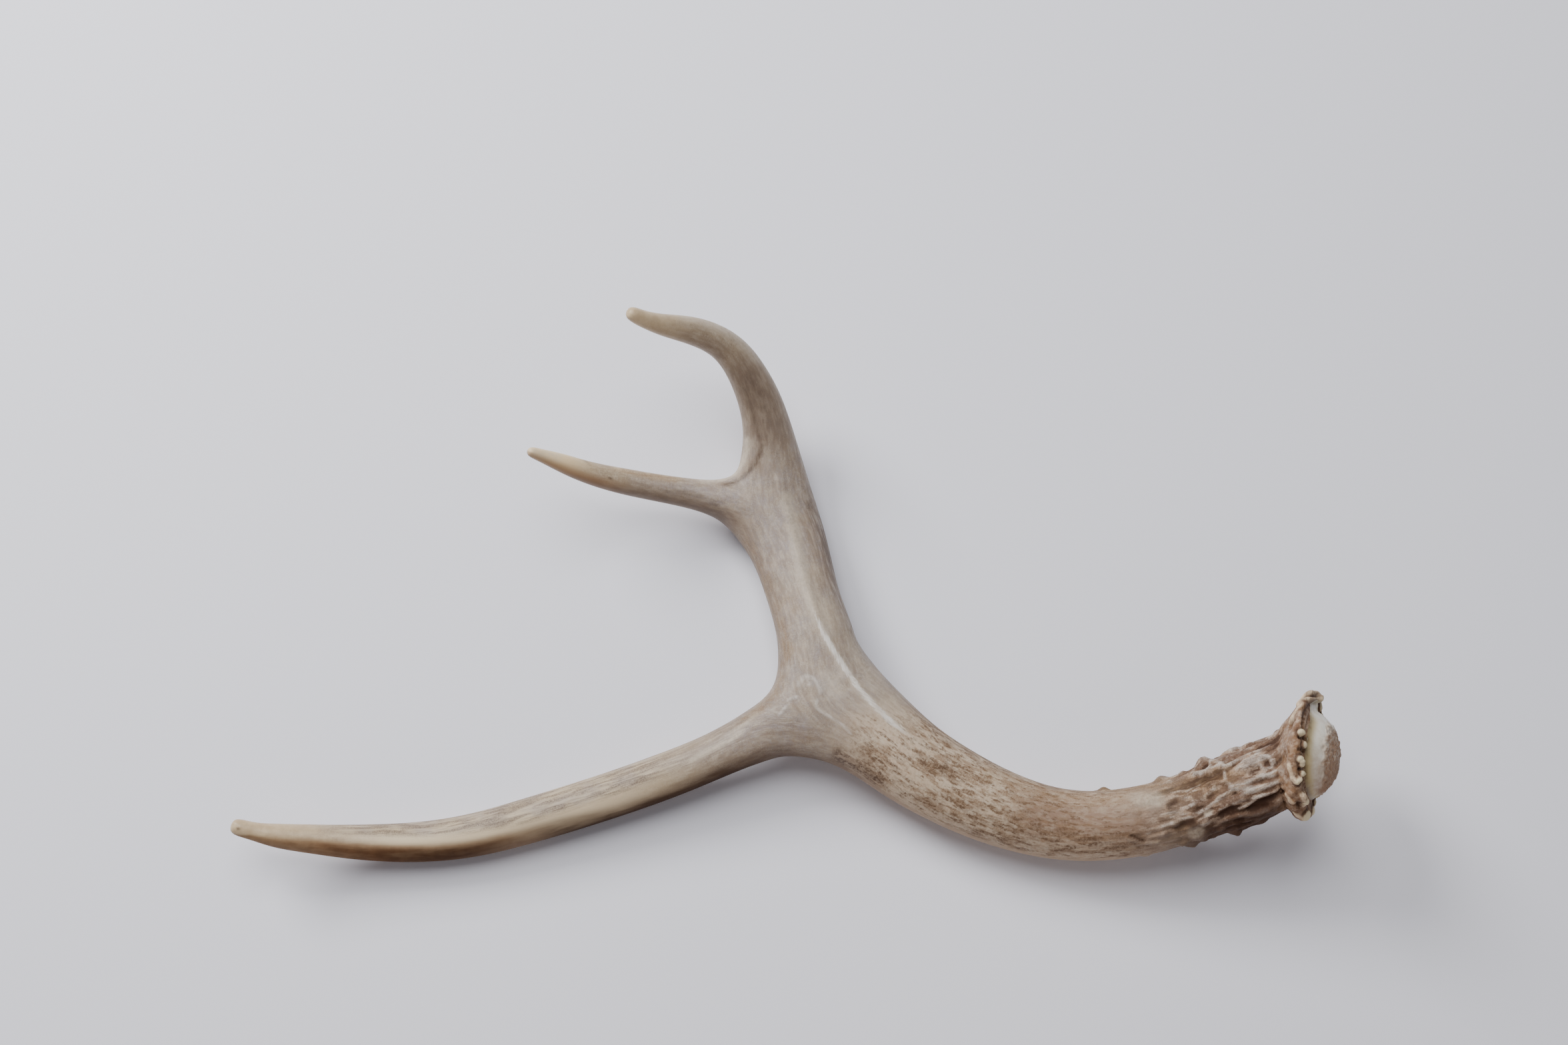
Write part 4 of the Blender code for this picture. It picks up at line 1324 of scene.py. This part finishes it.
def covered(nodes, cloud, given):
    """The part of a cloud that stands out, as much of it as the given cover."""
    edge = nodes.reckon("SUBTRACT", MIDDLE_COVER, nodes.times(given["Cover"], COVER_SLOPE))
    low = nodes.reckon("SUBTRACT", edge, given["Softness"])
    return nodes.ramp(cloud, low, nodes.reckon("ADD", edge, given["Softness"]))


def make_streaks():
    sizes = {"Grain": None, "Width": 1.0, "Length": 10.0, "Cover": 0.5, "Softness": 0.06, "Seed": 0.0}
    nodes, given, result = new_group("streaks", sizes, ["Mask"])
    split = nodes.put("ShaderNodeSeparateXYZ", {0: given["Grain"]}).outputs
    along = nodes.reckon("ADD", nodes.reckon("DIVIDE", split[0], given["Length"]), given["Seed"])
    level = nodes.reckon("DIVIDE", split[1], given["Width"])
    upward = nodes.reckon("DIVIDE", split[2], given["Width"])
    place = nodes.put("ShaderNodeCombineXYZ", {0: along, 1: level, 2: upward}).outputs[0]
    inputs = {"Vector": place, "Scale": 1.0, "Detail": 3.0, "Roughness": 0.55}
    cloud = nodes.put("ShaderNodeTexNoise", inputs).outputs["Fac"]
    nodes.plug(result["Mask"], covered(nodes, cloud, given))
    return nodes.tree


streaks_group = make_streaks()
print("streaks group:", len(streaks_group.nodes), "nodes")

# %% [markdown]
# ## Mottling
#
# Dirt and wear also leave marks with no direction. The mottle group does the same
# as the streaks, with one size for all directions.

# %% Make the mottle group
def make_mottle():
    sizes = {"Place": None, "Size": 2.0, "Cover": 0.5, "Softness": 0.06, "Seed": 0.0}
    nodes, given, result = new_group("mottle", sizes, ["Mask", "Height"])
    scale = nodes.reckon("DIVIDE", 1.0, given["Size"])
    inputs = {"Vector": given["Place"], "W": given["Seed"], "Scale": scale, "Detail": 4.0, "Roughness": 0.6}
    cloud = nodes.put("ShaderNodeTexNoise", inputs, noise_dimensions="4D").outputs["Fac"]
    nodes.plug(result["Mask"], covered(nodes, cloud, given))
    nodes.plug(result["Height"], cloud)
    return nodes.tree


mottle_group = make_mottle()
print("mottle group:", len(mottle_group.nodes), "nodes")

# %% [markdown]
# ## The tones
#
# Bone has no single colour. Its whites go from nail to lilac grey, and its browns
# are bark, tannin and dried blood. They are mixed here as on a palette, in the
# numbers of a paint chart, so that a coat can be named by what it looks like.

# %% Mix the tones
def tone(*chart):
    """A colour as a paint chart gives it, 0 to 255, made linear for the shader."""
    shares = [c / 255 for c in chart]
    return (*(c / 12.92 if c <= 0.04045 else ((c + 0.055) / 1.055) ** 2.4 for c in shares), 1)


IVORY = tone(206, 183, 148)
CREAM = tone(224, 204, 172)
BONE = tone(178, 159, 134)
TINE = tone(206, 187, 157)
TAUPE = tone(154, 142, 132)
LILAC = tone(154, 145, 145)
TAN = tone(160, 136, 110)
DUN = tone(146, 122, 98)
PENCIL = tone(116, 98, 82)
HAIR = tone(108, 88, 72)
# painted shade for the long tine's underside, partly stain
UNDERSIDE_SHADE_AND_STAIN = tone(84, 64, 50)
SHADE = tone(116, 99, 88)
ROSE = tone(143, 115, 96)
# dark specks of dirt, and painted shade in the crease of the second fork
SOOT_AND_SHADE = tone(84, 66, 52)
FLECK_BASE = tone(202, 180, 156)
FLECK = tone(134, 106, 80)
DEEP_FLECK = tone(98, 73, 53)
DENSE_FLECK = tone(78, 57, 44)
PALE = tone(204, 190, 170)
STAIN = tone(120, 86, 60)
STAIN_EDGE = tone(148, 116, 84)
# a dark brown for stain, and for painted shade at the long tine's lower edge
DEEP_STAIN_AND_SHADE = tone(54, 35, 24)
AMBER = tone(158, 122, 88)
OCHRE = tone(146, 118, 86)
NAIL = tone(246, 218, 172)
PEACH = tone(154, 116, 82)
# the belly's warm blush, partly painted reflected light
BLUSH = tone(176, 150, 126)
BARK = tone(100, 74, 58)
DEEP_BARK = tone(62, 39, 27)
WORN_BARK = tone(204, 192, 180)
PALE_BARK = tone(180, 156, 136)
RIM = tone(124, 92, 70)
RUST = tone(140, 106, 74)
RIM_LIGHT = tone(202, 176, 152)
FOLD = tone(224, 200, 170)
BEAD = tone(224, 208, 174)
# the crest's white, partly a painted highlight, and the vessels' white
WORN_WHITE_AND_GLINT = tone(226, 220, 212)
print("the palest tone, linear:", [round(c, 2) for c in NAIL])

# %% [markdown]
# ## One finish for the whole antler
#
# One material covers the whole antler, because on the real one every zone fades
# into the next. Each coat is laid over the last through masks, from broad to fine:
# clouds, bands, grain, then specks of half a millimetre. Specks come in clusters,
# which is what makes them look like dirt in pores.

# %% Open the antler's finish
class Paint(Nodes):
    """Nodes, with the marks that the coats are made of."""

    def streaks(self, width, length, cover, softness=0.06, seed=0.0):
        """A mask of streaks that follows both courses and fades between them."""
        found = []
        for grain in ("main_grain", "side_grain"):
            values = {"Grain": self.read(grain, "Vector"), "Width": width, "Length": length}
            values.update({"Cover": cover, "Softness": softness, "Seed": seed})
            found.append(self.put("ShaderNodeGroup", values, node_tree=streaks_group).outputs["Mask"])
        return self.between("side_share", *found)

    def cloud(self, size, cover, softness, seed=0.0):
        """Clouds with no direction, as a mask and as a height."""
        place = self.put("ShaderNodeTexCoord").outputs["Object"]
        place = self.put("ShaderNodeVectorMath", {0: place, "Scale": 1 / MM}, operation="SCALE").outputs[0]
        values = {"Place": place, "Size": size, "Cover": cover, "Softness": softness, "Seed": seed}
        return self.put("ShaderNodeGroup", values, node_tree=mottle_group).outputs

    def mottle(self, size, cover, softness, seed=0.0):
        return self.cloud(size, cover, softness, seed)["Mask"]


def new_material(name):
    material = bpy.data.materials.new(name)
    material.use_nodes = True
    return material, Paint(material.node_tree), material.node_tree.nodes["Principled BSDF"]


antler_finish, antler_paint, antler_shader = new_material("weathered antler with painted shade and highlights")
specks = antler_paint.mottle(0.45, 0.42, 0.13, seed=13.0)
clouds = antler_paint.cloud(3.2, 0.5, 0.12)["Height"]
print("nodes:", len(antler_paint.tree.nodes))

# %% [markdown]
# ## Bare bone
#
# Rubbed bone is ivory at the tips and a mottled grey, tan and lilac at the forks.
# Smears and pale streaks along the grain come next, then dirt in clusters. The
# ivory mask holds most of that off the tips, which are cleaner.

# %% Paint the bare bone
def bare_bone(paint):
    brown = paint.times("brown", paint.between(paint.mottle(6.0, 0.6, 0.2, seed=6.0), 0.75, 1.0))
    plain = paint.reckon("SUBTRACT", 1.0, paint.times("ivory", 0.85))
    plain = paint.times(plain, paint.between(brown, 1.0, 0.35))
    colour = paint.blend("grey", BONE, TAUPE)
    colour = paint.coat(colour, TAN, paint.mottle(7.0, 0.45, 0.09, seed=2.0), "grey", 0.4)
    lilac = paint.times(paint.mottle(5.0, 0.4, 0.09, seed=4.0), "grey", 0.4)
    colour = paint.coat(colour, LILAC, paint.reckon("ADD", lilac, paint.times("lilac", 0.6)))
    # brown touches; on the top tine's shaft they are painted shade
    colour = paint.coat(colour, SHADE, brown)
    ivory = paint.coat(IVORY, STAIN_EDGE, paint.mottle(3.0, 0.5, 0.15, seed=47.0), 0.3)
    colour = paint.coat(colour, ivory, "ivory")
    smears = paint.streaks(1.7, 7.0, 0.45, 0.12, seed=3.0)
    colour = paint.coat(colour, PENCIL, smears, plain, 0.32)
    light = paint.streaks(1.3, 5.0, 0.45, 0.12, seed=12.0)
    colour = paint.coat(colour, PALE, light, plain, 0.35)
    colour = paint.coat(colour, DUN, paint.mottle(0.7, 0.5, 0.1, seed=8.0), plain, 0.3)
    clusters = paint.mottle(4.2, 0.5, 0.12, seed=9.0)
    return paint.coat(colour, SOOT_AND_SHADE, specks, clusters, plain, 0.32)


colour = bare_bone(antler_paint)
print("nodes after the bare bone:", len(antler_paint.tree.nodes))

# %% [markdown]
# ## The streaked long tine
#
# Its top is combed with dark streaks that break up into specks close by, beside a
# clean cream band. Below them come painted shade and a painted dark edge; nearer
# the tip the stain is laid on in coats from its edge to its middle, as water leaves
# it, and darkened towards the bottom by painted shade. The front tine's tip and
# underside come last.

# %% Paint the tines
def streaked_tine(paint, colour):
    base = paint.coat(TINE, LILAC, paint.mottle(8.0, 0.5, 0.14, seed=14.0), 0.5)
    colour = paint.coat(colour, base, "tined", 0.7)
    colour = paint.coat(colour, CREAM, "band", 0.9)
    grains = paint.between(paint.mottle(0.45, 0.5, 0.14, seed=15.0), 0.35, 0.75)
    bands = paint.streaks(1.3, 12.0, 0.52, 0.08, seed=5.0)
    threads = paint.between(paint.streaks(0.5, 5.0, 0.6, 0.1, seed=16.0), 0.45, 1.0)
    colour = paint.coat(colour, HAIR, bands, grains, threads, "tined")
    fine = paint.streaks(0.5, 9.0, 0.5, 0.08, seed=6.0)
    colour = paint.coat(colour, PENCIL, fine, "streaky", 0.32)
    colour = paint.coat(colour, SOOT_AND_SHADE, bands, specks, "tined", 0.5)
    uneven = paint.between(paint.streaks(2.2, 12.0, 0.5, 0.2, seed=7.0), 0.7, 1.0)
    # painted shade on the underside, partly stain
    colour = paint.coat(colour, UNDERSIDE_SHADE_AND_STAIN, "shade", uneven)
    # a painted dark line along the lower edge: painted shade
    colour = paint.coat(colour, DEEP_STAIN_AND_SHADE, "edge_line", 0.9)
    stain = paint.times("stain", uneven)
    colour = paint.coat(colour, STAIN_EDGE, paint.ramp(stain, 0.0, 0.5), 0.75)
    colour = paint.coat(colour, STAIN, paint.ramp(stain, 0.3, 1.0))
    blotches = paint.mottle(4.0, 0.5, 0.14, seed=48.0)
    colour = paint.coat(colour, DEEP_STAIN_AND_SHADE, stain, blotches, 0.28)
    # the stain darkened towards the bottom: painted shade
    colour = paint.coat(colour, DEEP_STAIN_AND_SHADE, "deep", 0.75)
    colour = paint.coat(colour, NAIL, "bare_tip", 0.9)
    colour = paint.coat(colour, PEACH, "peach", 0.8)
    return paint.coat(colour, PENCIL, "dusk", 0.5)


colour = streaked_tine(antler_paint, colour)
print("nodes after the tines:", len(antler_paint.tree.nodes))

# %% [markdown]
# ## The flecked beam
#
# Brown flecks lie in islands on tan, many with a darker core. A broad cloud decides
# how crowded they are, so that they thin out and gather as on the real beam. Dark
# hairs run along its edges.

# %% Paint the flecked beam
def flecked_beam(paint, colour):
    colour = paint.coat(colour, paint.blend("brown", FLECK_BASE, ROSE), "flecked", 0.85)
    pale = paint.streaks(1.1, 3.4, 0.5, 0.12, seed=23.0)
    colour = paint.coat(colour, PALE, pale, "flecked", paint.between("brown", 0.45, 0.2))
    crowd = paint.between(paint.mottle(12.0, 0.5, 0.14, seed=20.0), 0.24, 0.5)
    crowd = paint.reckon("ADD", crowd, paint.times("dense", 0.34))
    islands = paint.streaks(2.2, 6.0, crowd, 0.08, seed=29.0)
    colour = paint.coat(colour, FLECK, islands, "flecked", paint.between(specks, 0.45, 0.85))
    dots = paint.mottle(0.8, 0.5, 0.06, seed=33.0)
    cores = paint.streaks(1.1, 4.2, paint.times(crowd, 0.85), 0.06, seed=31.0)
    colour = paint.coat(colour, DEEP_FLECK, cores, "flecked", paint.between(dots, 0.35, 0.8))
    colour = paint.coat(colour, FLECK, dots, "flecked", 0.2)
    strokes = paint.streaks(1.5, 5.0, 0.6, 0.06, seed=34.0)
    colour = paint.coat(colour, DENSE_FLECK, "dense", strokes, paint.between(dots, 0.5, 0.9))
    hairs = paint.streaks(0.9, 8.0, 0.55, 0.08, seed=35.0)
    colour = paint.coat(colour, HAIR, hairs, "fringe", 0.8)
    # the belly's warm blush: partly painted reflected light from below
    uneven = paint.between(paint.mottle(6.0, 0.5, 0.2, seed=36.0), 0.35, 0.8)
    return paint.coat(colour, BLUSH, "belly", uneven)


colour = flecked_beam(antler_paint, colour)
print("nodes after the flecked beam:", len(antler_paint.tree.nodes))

# %% [markdown]
# ## The rough foot and the rim
#
# The foot looks like bark: brown islands on tan, dark in its hollows, scuffed on
# its ridges, and darker on its underside, partly real brown and partly painted
# shade. The relief mask tells high from low, and a cloud is added to it, so that
# the dirt doesn't end at one even height. The rim is redder, with rusty spots.

# %% Paint the rough foot
def rough_foot(paint, colour):
    level = paint.reckon("ADD", "relief", paint.reckon("SUBTRACT", clouds, 0.5))
    grains = paint.mottle(0.8, 0.5, 0.12, seed=18.0)
    amber = paint.mottle(4.0, 0.5, 0.1, seed=17.0)
    bark = paint.coat(PALE_BARK, AMBER, amber, paint.between(grains, 0.4, 0.7))
    scuffs = paint.streaks(1.1, 5.0, 0.55, 0.08, seed=37.0)
    scuffs = paint.times(scuffs, paint.between(grains, 0.75, 1.0))
    high = paint.ramp(level, 0.38, 0.75)
    bark = paint.coat(bark, WORN_BARK, high, paint.between(scuffs, 0.1, 1.0))
    islands = paint.streaks(1.9, 5.0, 0.6, 0.06, seed=51.0)
    low = paint.ramp(level, 0.5, 1.0, 1.0, 0.45)
    bark = paint.coat(bark, BARK, islands, low, paint.between(grains, 0.75, 0.95))
    bark = paint.coat(bark, DEEP_BARK, paint.ramp(level, 0.08, 0.36, 0.85, 0.0))
    patches = paint.mottle(1.8, 0.48, 0.1, seed=19.0)
    rubbed = paint.times(paint.between(patches, 0.15, 0.8), paint.between(scuffs, 0.35, 1.0))
    bark = paint.coat(bark, WORN_BARK, paint.ramp("pale", 0.2, 1.0), rubbed)
    bark = paint.coat(bark, DEEP_BARK, specks, 0.35)
    # the foot's underside darkened: partly real brown, partly painted shade
    shaded = paint.coat(DEEP_BARK, BARK, paint.mottle(2.6, 0.5, 0.14, seed=53.0), 0.5)
    bark = paint.coat(bark, shaded, "under", 0.9)
    rim = paint.coat(RIM, RIM_LIGHT, patches, paint.between(grains, 0.6, 1.0))
    bark = paint.coat(bark, rim, "burr", 0.75)
    rust = paint.times(paint.mottle(3.4, 0.55, 0.14, seed=54.0), paint.ramp("burr", 0.05, 0.5))
    bark = paint.coat(bark, RUST, rust, paint.between(grains, 0.3, 0.7))
    colour = paint.coat(colour, bark, "rough")
    colour = paint.coat(colour, FOLD, paint.ramp("fold", 0.2, 0.8), paint.between(patches, 0.45, 1.0))
    return paint.coat(colour, DEEP_BARK, paint.ramp("gap", 0.15, 0.6), 0.7)


colour = rough_foot(antler_paint, colour)
print("nodes after the rough foot:", len(antler_paint.tree.nodes))

# %% [markdown]
# ## The touches
#
# Last come the marks that were touched in, the chalky crest, the vessels and the
# beads. Among them are painted shade in the crease of the second fork, painted
# highlights on knobs of the lower beam, and the crest's white, partly a painted
# highlight. Each is broken up by streaks or powder, because a mark of one even tone
# looks painted on. The crest is flaked at its edge, where the rubbing stopped.

# %% Paint the touches
def touches(paint, colour):
    broken = paint.streaks(0.9, 4.0, 0.5, 0.12, seed=41.0)
    colour = paint.coat(colour, OCHRE, "golden", paint.between(broken, 0.2, 0.8))
    colour = paint.coat(colour, SOOT_AND_SHADE, "golden", specks, 0.4)
    powder = paint.between(paint.mottle(1.2, 0.5, 0.15, seed=44.0), 0.45, 0.85)
    colour = paint.coat(colour, PALE, "cream", powder)
    # dark touches: pits and smudges, and painted shade in the crease of the second fork
    colour = paint.coat(colour, SOOT_AND_SHADE, "dark", paint.between(broken, 0.55, 1.0))
    colour = paint.coat(colour, DEEP_BARK, "hollow", 0.7)
    # the crest: worn white bone, painted brighter as a highlight
    lit = paint.streaks(9.0, 9.0, 0.6, 0.16, seed=45.0)
    colour = paint.coat(colour, PALE, "worn", paint.between(lit, 0.15, 0.5))
    flakes = paint.between(paint.streaks(0.5, 2.6, 0.5, 0.2, seed=43.0), -0.14, 0.14)
    core = paint.ramp(paint.reckon("ADD", "worn", flakes), 0.62, 1.02)
    colour = paint.coat(colour, WORN_WHITE_AND_GLINT, core, paint.between(lit, 0.35, 0.9))
    colour = paint.coat(colour, WORN_WHITE_AND_GLINT, "vessel", paint.between(broken, 0.15, 0.4))
    return paint.coat(colour, BEAD, paint.ramp("bead", 0.35, 0.85))


colour = touches(antler_paint, colour)
print("nodes after the touches:", len(antler_paint.tree.nodes))

# %% [markdown]
# ## Shine and pores
#
# Handled and rubbed bone shines faintly, and stained or rough bone hardly at all.
# The grain, the pores and the crumbly bark are too fine to be points of the mesh,
# so they only tilt the light, as a bump of about a tenth of a millimetre.

# %% Close the antler's finish
ANTLER_BUMP = 0.12  # mm, for a height of 1


def finish(paint, shader, colour, roughness, height, depth):
    """Ends a material: its colour, its roughness, and a bump of heights in mm."""
    bump = paint.put("ShaderNodeBump", {"Height": height, "Strength": 1.0, "Distance": depth * MM})
    paint.plug(shader.inputs["Base Color"], colour)
    paint.plug(shader.inputs["Roughness"], roughness)
    paint.plug(shader.inputs["Normal"], bump.outputs["Normal"])


def close_antler(paint, shader):
    grain = paint.streaks(0.5, 6.0, 0.45, 0.12, seed=11.0)
    roughness = paint.between("ivory", paint.between("rough", 0.42, 0.6), 0.33)
    roughness = paint.between(paint.times(grain, 0.3), roughness, 0.7)
    roughness = paint.between("dull", roughness, 0.75)
    paint.plug(shader.inputs["Specular IOR Level"], paint.between("dull", 0.35, 0.08))
    fibres = paint.times(grain, paint.between("streaky", -0.06, -0.2))
    pores = paint.times(specks, paint.between("rough", -0.08, -0.3))
    height = paint.reckon("ADD", fibres, pores)
    height = paint.reckon("ADD", height, paint.times(clouds, "rough", 2.0))
    finish(paint, shader, colour, roughness, height, ANTLER_BUMP)


close_antler(antler_paint, antler_shader)
print("nodes of the antler's finish:", len(antler_paint.tree.nodes))

# %% [markdown]
# ## The seal's finish
#
# The seal was joined to the skull until the antler fell, so it is cream and clean,
# with a brown crust in its middle and an olive and brown stain where it meets the
# rim. Its cream is partly a painted sheen, and its -Y side is darkened by painted
# shade. It is a material of its own, because it shares no coat with the rest.

# %% Paint the seal
# the seal's cream is kept pale partly as a painted sheen
SEAL_CREAM = tone(236, 230, 216)
SEAL_SAND = tone(200, 178, 148)
SEAL_CRUST = tone(148, 112, 84)
SEAL_OLIVE = tone(178, 158, 108)
SEAL_STAIN = tone(104, 80, 48)
SEAL_BUMP = 0.2  # mm, for a height of 1
ON_SEAL = 0.05  # a triangle is seal where the mask is above this at all its corners


def seal_material():
    material, paint, shader = new_material("spongy seal bone")
    sponge = paint.cloud(0.9, 0.5, 0.12)
    cloud = paint.mottle(3.5, 0.45, 0.12, seed=3.0)
    colour = paint.coat(SEAL_CREAM, SEAL_SAND, cloud, 0.35)
    crusty = paint.coat(SEAL_CRUST, SEAL_CREAM, sponge["Mask"], paint.between(cloud, 0.12, 0.42))
    colour = paint.coat(colour, crusty, "crust_tone", 0.95)
    # painted shade on the seal's -Y side
    colour = paint.coat(colour, SEAL_CRUST, "seal_low", paint.between(cloud, 0.5, 0.8))
    colour = paint.coat(colour, SEAL_OLIVE, paint.ramp("junction", 0.0, 0.6), 0.8)
    stained = paint.ramp("junction", 0.45, 0.9)
    colour = paint.coat(colour, SEAL_STAIN, stained, paint.between(cloud, 0.6, 1.0))
    roughness = paint.between("crust", 0.35, 0.8)
    height = paint.times(sponge["Height"], paint.between("crust", 0.4, 2.0))
    finish(paint, shader, colour, roughness, height, SEAL_BUMP)
    return material


antler.data.materials.clear()
antler.data.materials.append(antler_finish)
antler.data.materials.append(seal_material())
corners_of = np.empty(len(antler.data.polygons) * 3, dtype=np.int32)
antler.data.polygons.foreach_get("vertices", corners_of)
on_seal = (seal[corners_of.reshape(-1, 3)].min(axis=1) > ON_SEAL).astype(np.int32)
antler.data.polygons.foreach_set("material_index", on_seal)
print("seal faces:", int(on_seal.sum()))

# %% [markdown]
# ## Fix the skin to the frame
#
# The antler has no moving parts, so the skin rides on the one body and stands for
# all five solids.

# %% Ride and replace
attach(antler, "root")
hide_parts("lower_beam", "long_tine", "upper_beam", "front_tine", "top_tine")
print("riding on the root:", antler.name)

# %% [markdown]
# ## A pale floor and soft light
#
# One small sharp lamp would draw every furrow in black. Instead a wide lamp stands
# past the top left of the picture, so that the lower edges fall into soft shade,
# and a wider one higher up. A weak warm lamp low in front stands for the light that
# a wooden bench throws back, and a pale sky fills what is left of the shadows.

# %% Light it
FLOOR_SIZE = 6.0
FLOOR_COLOUR, FLOOR_ROUGHNESS = (0.915, 0.915, 0.99, 1), 0.7
SKY, SKY_STRENGTH = (0.86, 0.9, 1.0, 1), 0.18
# place, width, power, colour
LAMPS = (
    ((-0.78, 0.72, 0.75), 0.5, 15.0, (1.0, 1.0, 1.0)),
    ((-0.15, 0.5, 1.2), 0.9, 12.0, (1.0, 1.0, 1.0)),
    ((0.1, -0.9, 0.25), 0.8, 1.5, (1.0, 0.78, 0.6)),
)


def add_floor():
    bpy.ops.mesh.primitive_plane_add(size=FLOOR_SIZE)
    floor = bpy.context.object
    floor.name = "floor"
    material, _, shader = new_material("pale floor")
    shader.inputs["Base Color"].default_value = FLOOR_COLOUR
    shader.inputs["Roughness"].default_value = FLOOR_ROUGHNESS
    floor.data.materials.append(material)


def add_lamp(name, place, width, power, colour):
    data = bpy.data.lights.new(name, "AREA")
    data.shape, data.size, data.energy, data.color = "DISK", width, power, colour
    lamp = bpy.data.objects.new(name, data)
    lamp.location = place
    lamp.rotation_euler = Vector(place).to_track_quat("Z", "Y").to_euler()
    bpy.context.collection.objects.link(lamp)


def add_sky():
    world = bpy.data.worlds.new("sky")
    world.use_nodes = True
    background = world.node_tree.nodes["Background"]
    background.inputs["Color"].default_value = SKY
    background.inputs["Strength"].default_value = SKY_STRENGTH
    bpy.context.scene.world = world


add_floor()
for i, lamp in enumerate(LAMPS):
    add_lamp(f"lamp_{i + 1}", *lamp)
add_sky()
print("lamps:", len(LAMPS), "and a sky")

# %% [markdown]
# ## The size
#
# The skin has to stay inside the packed solids' box.
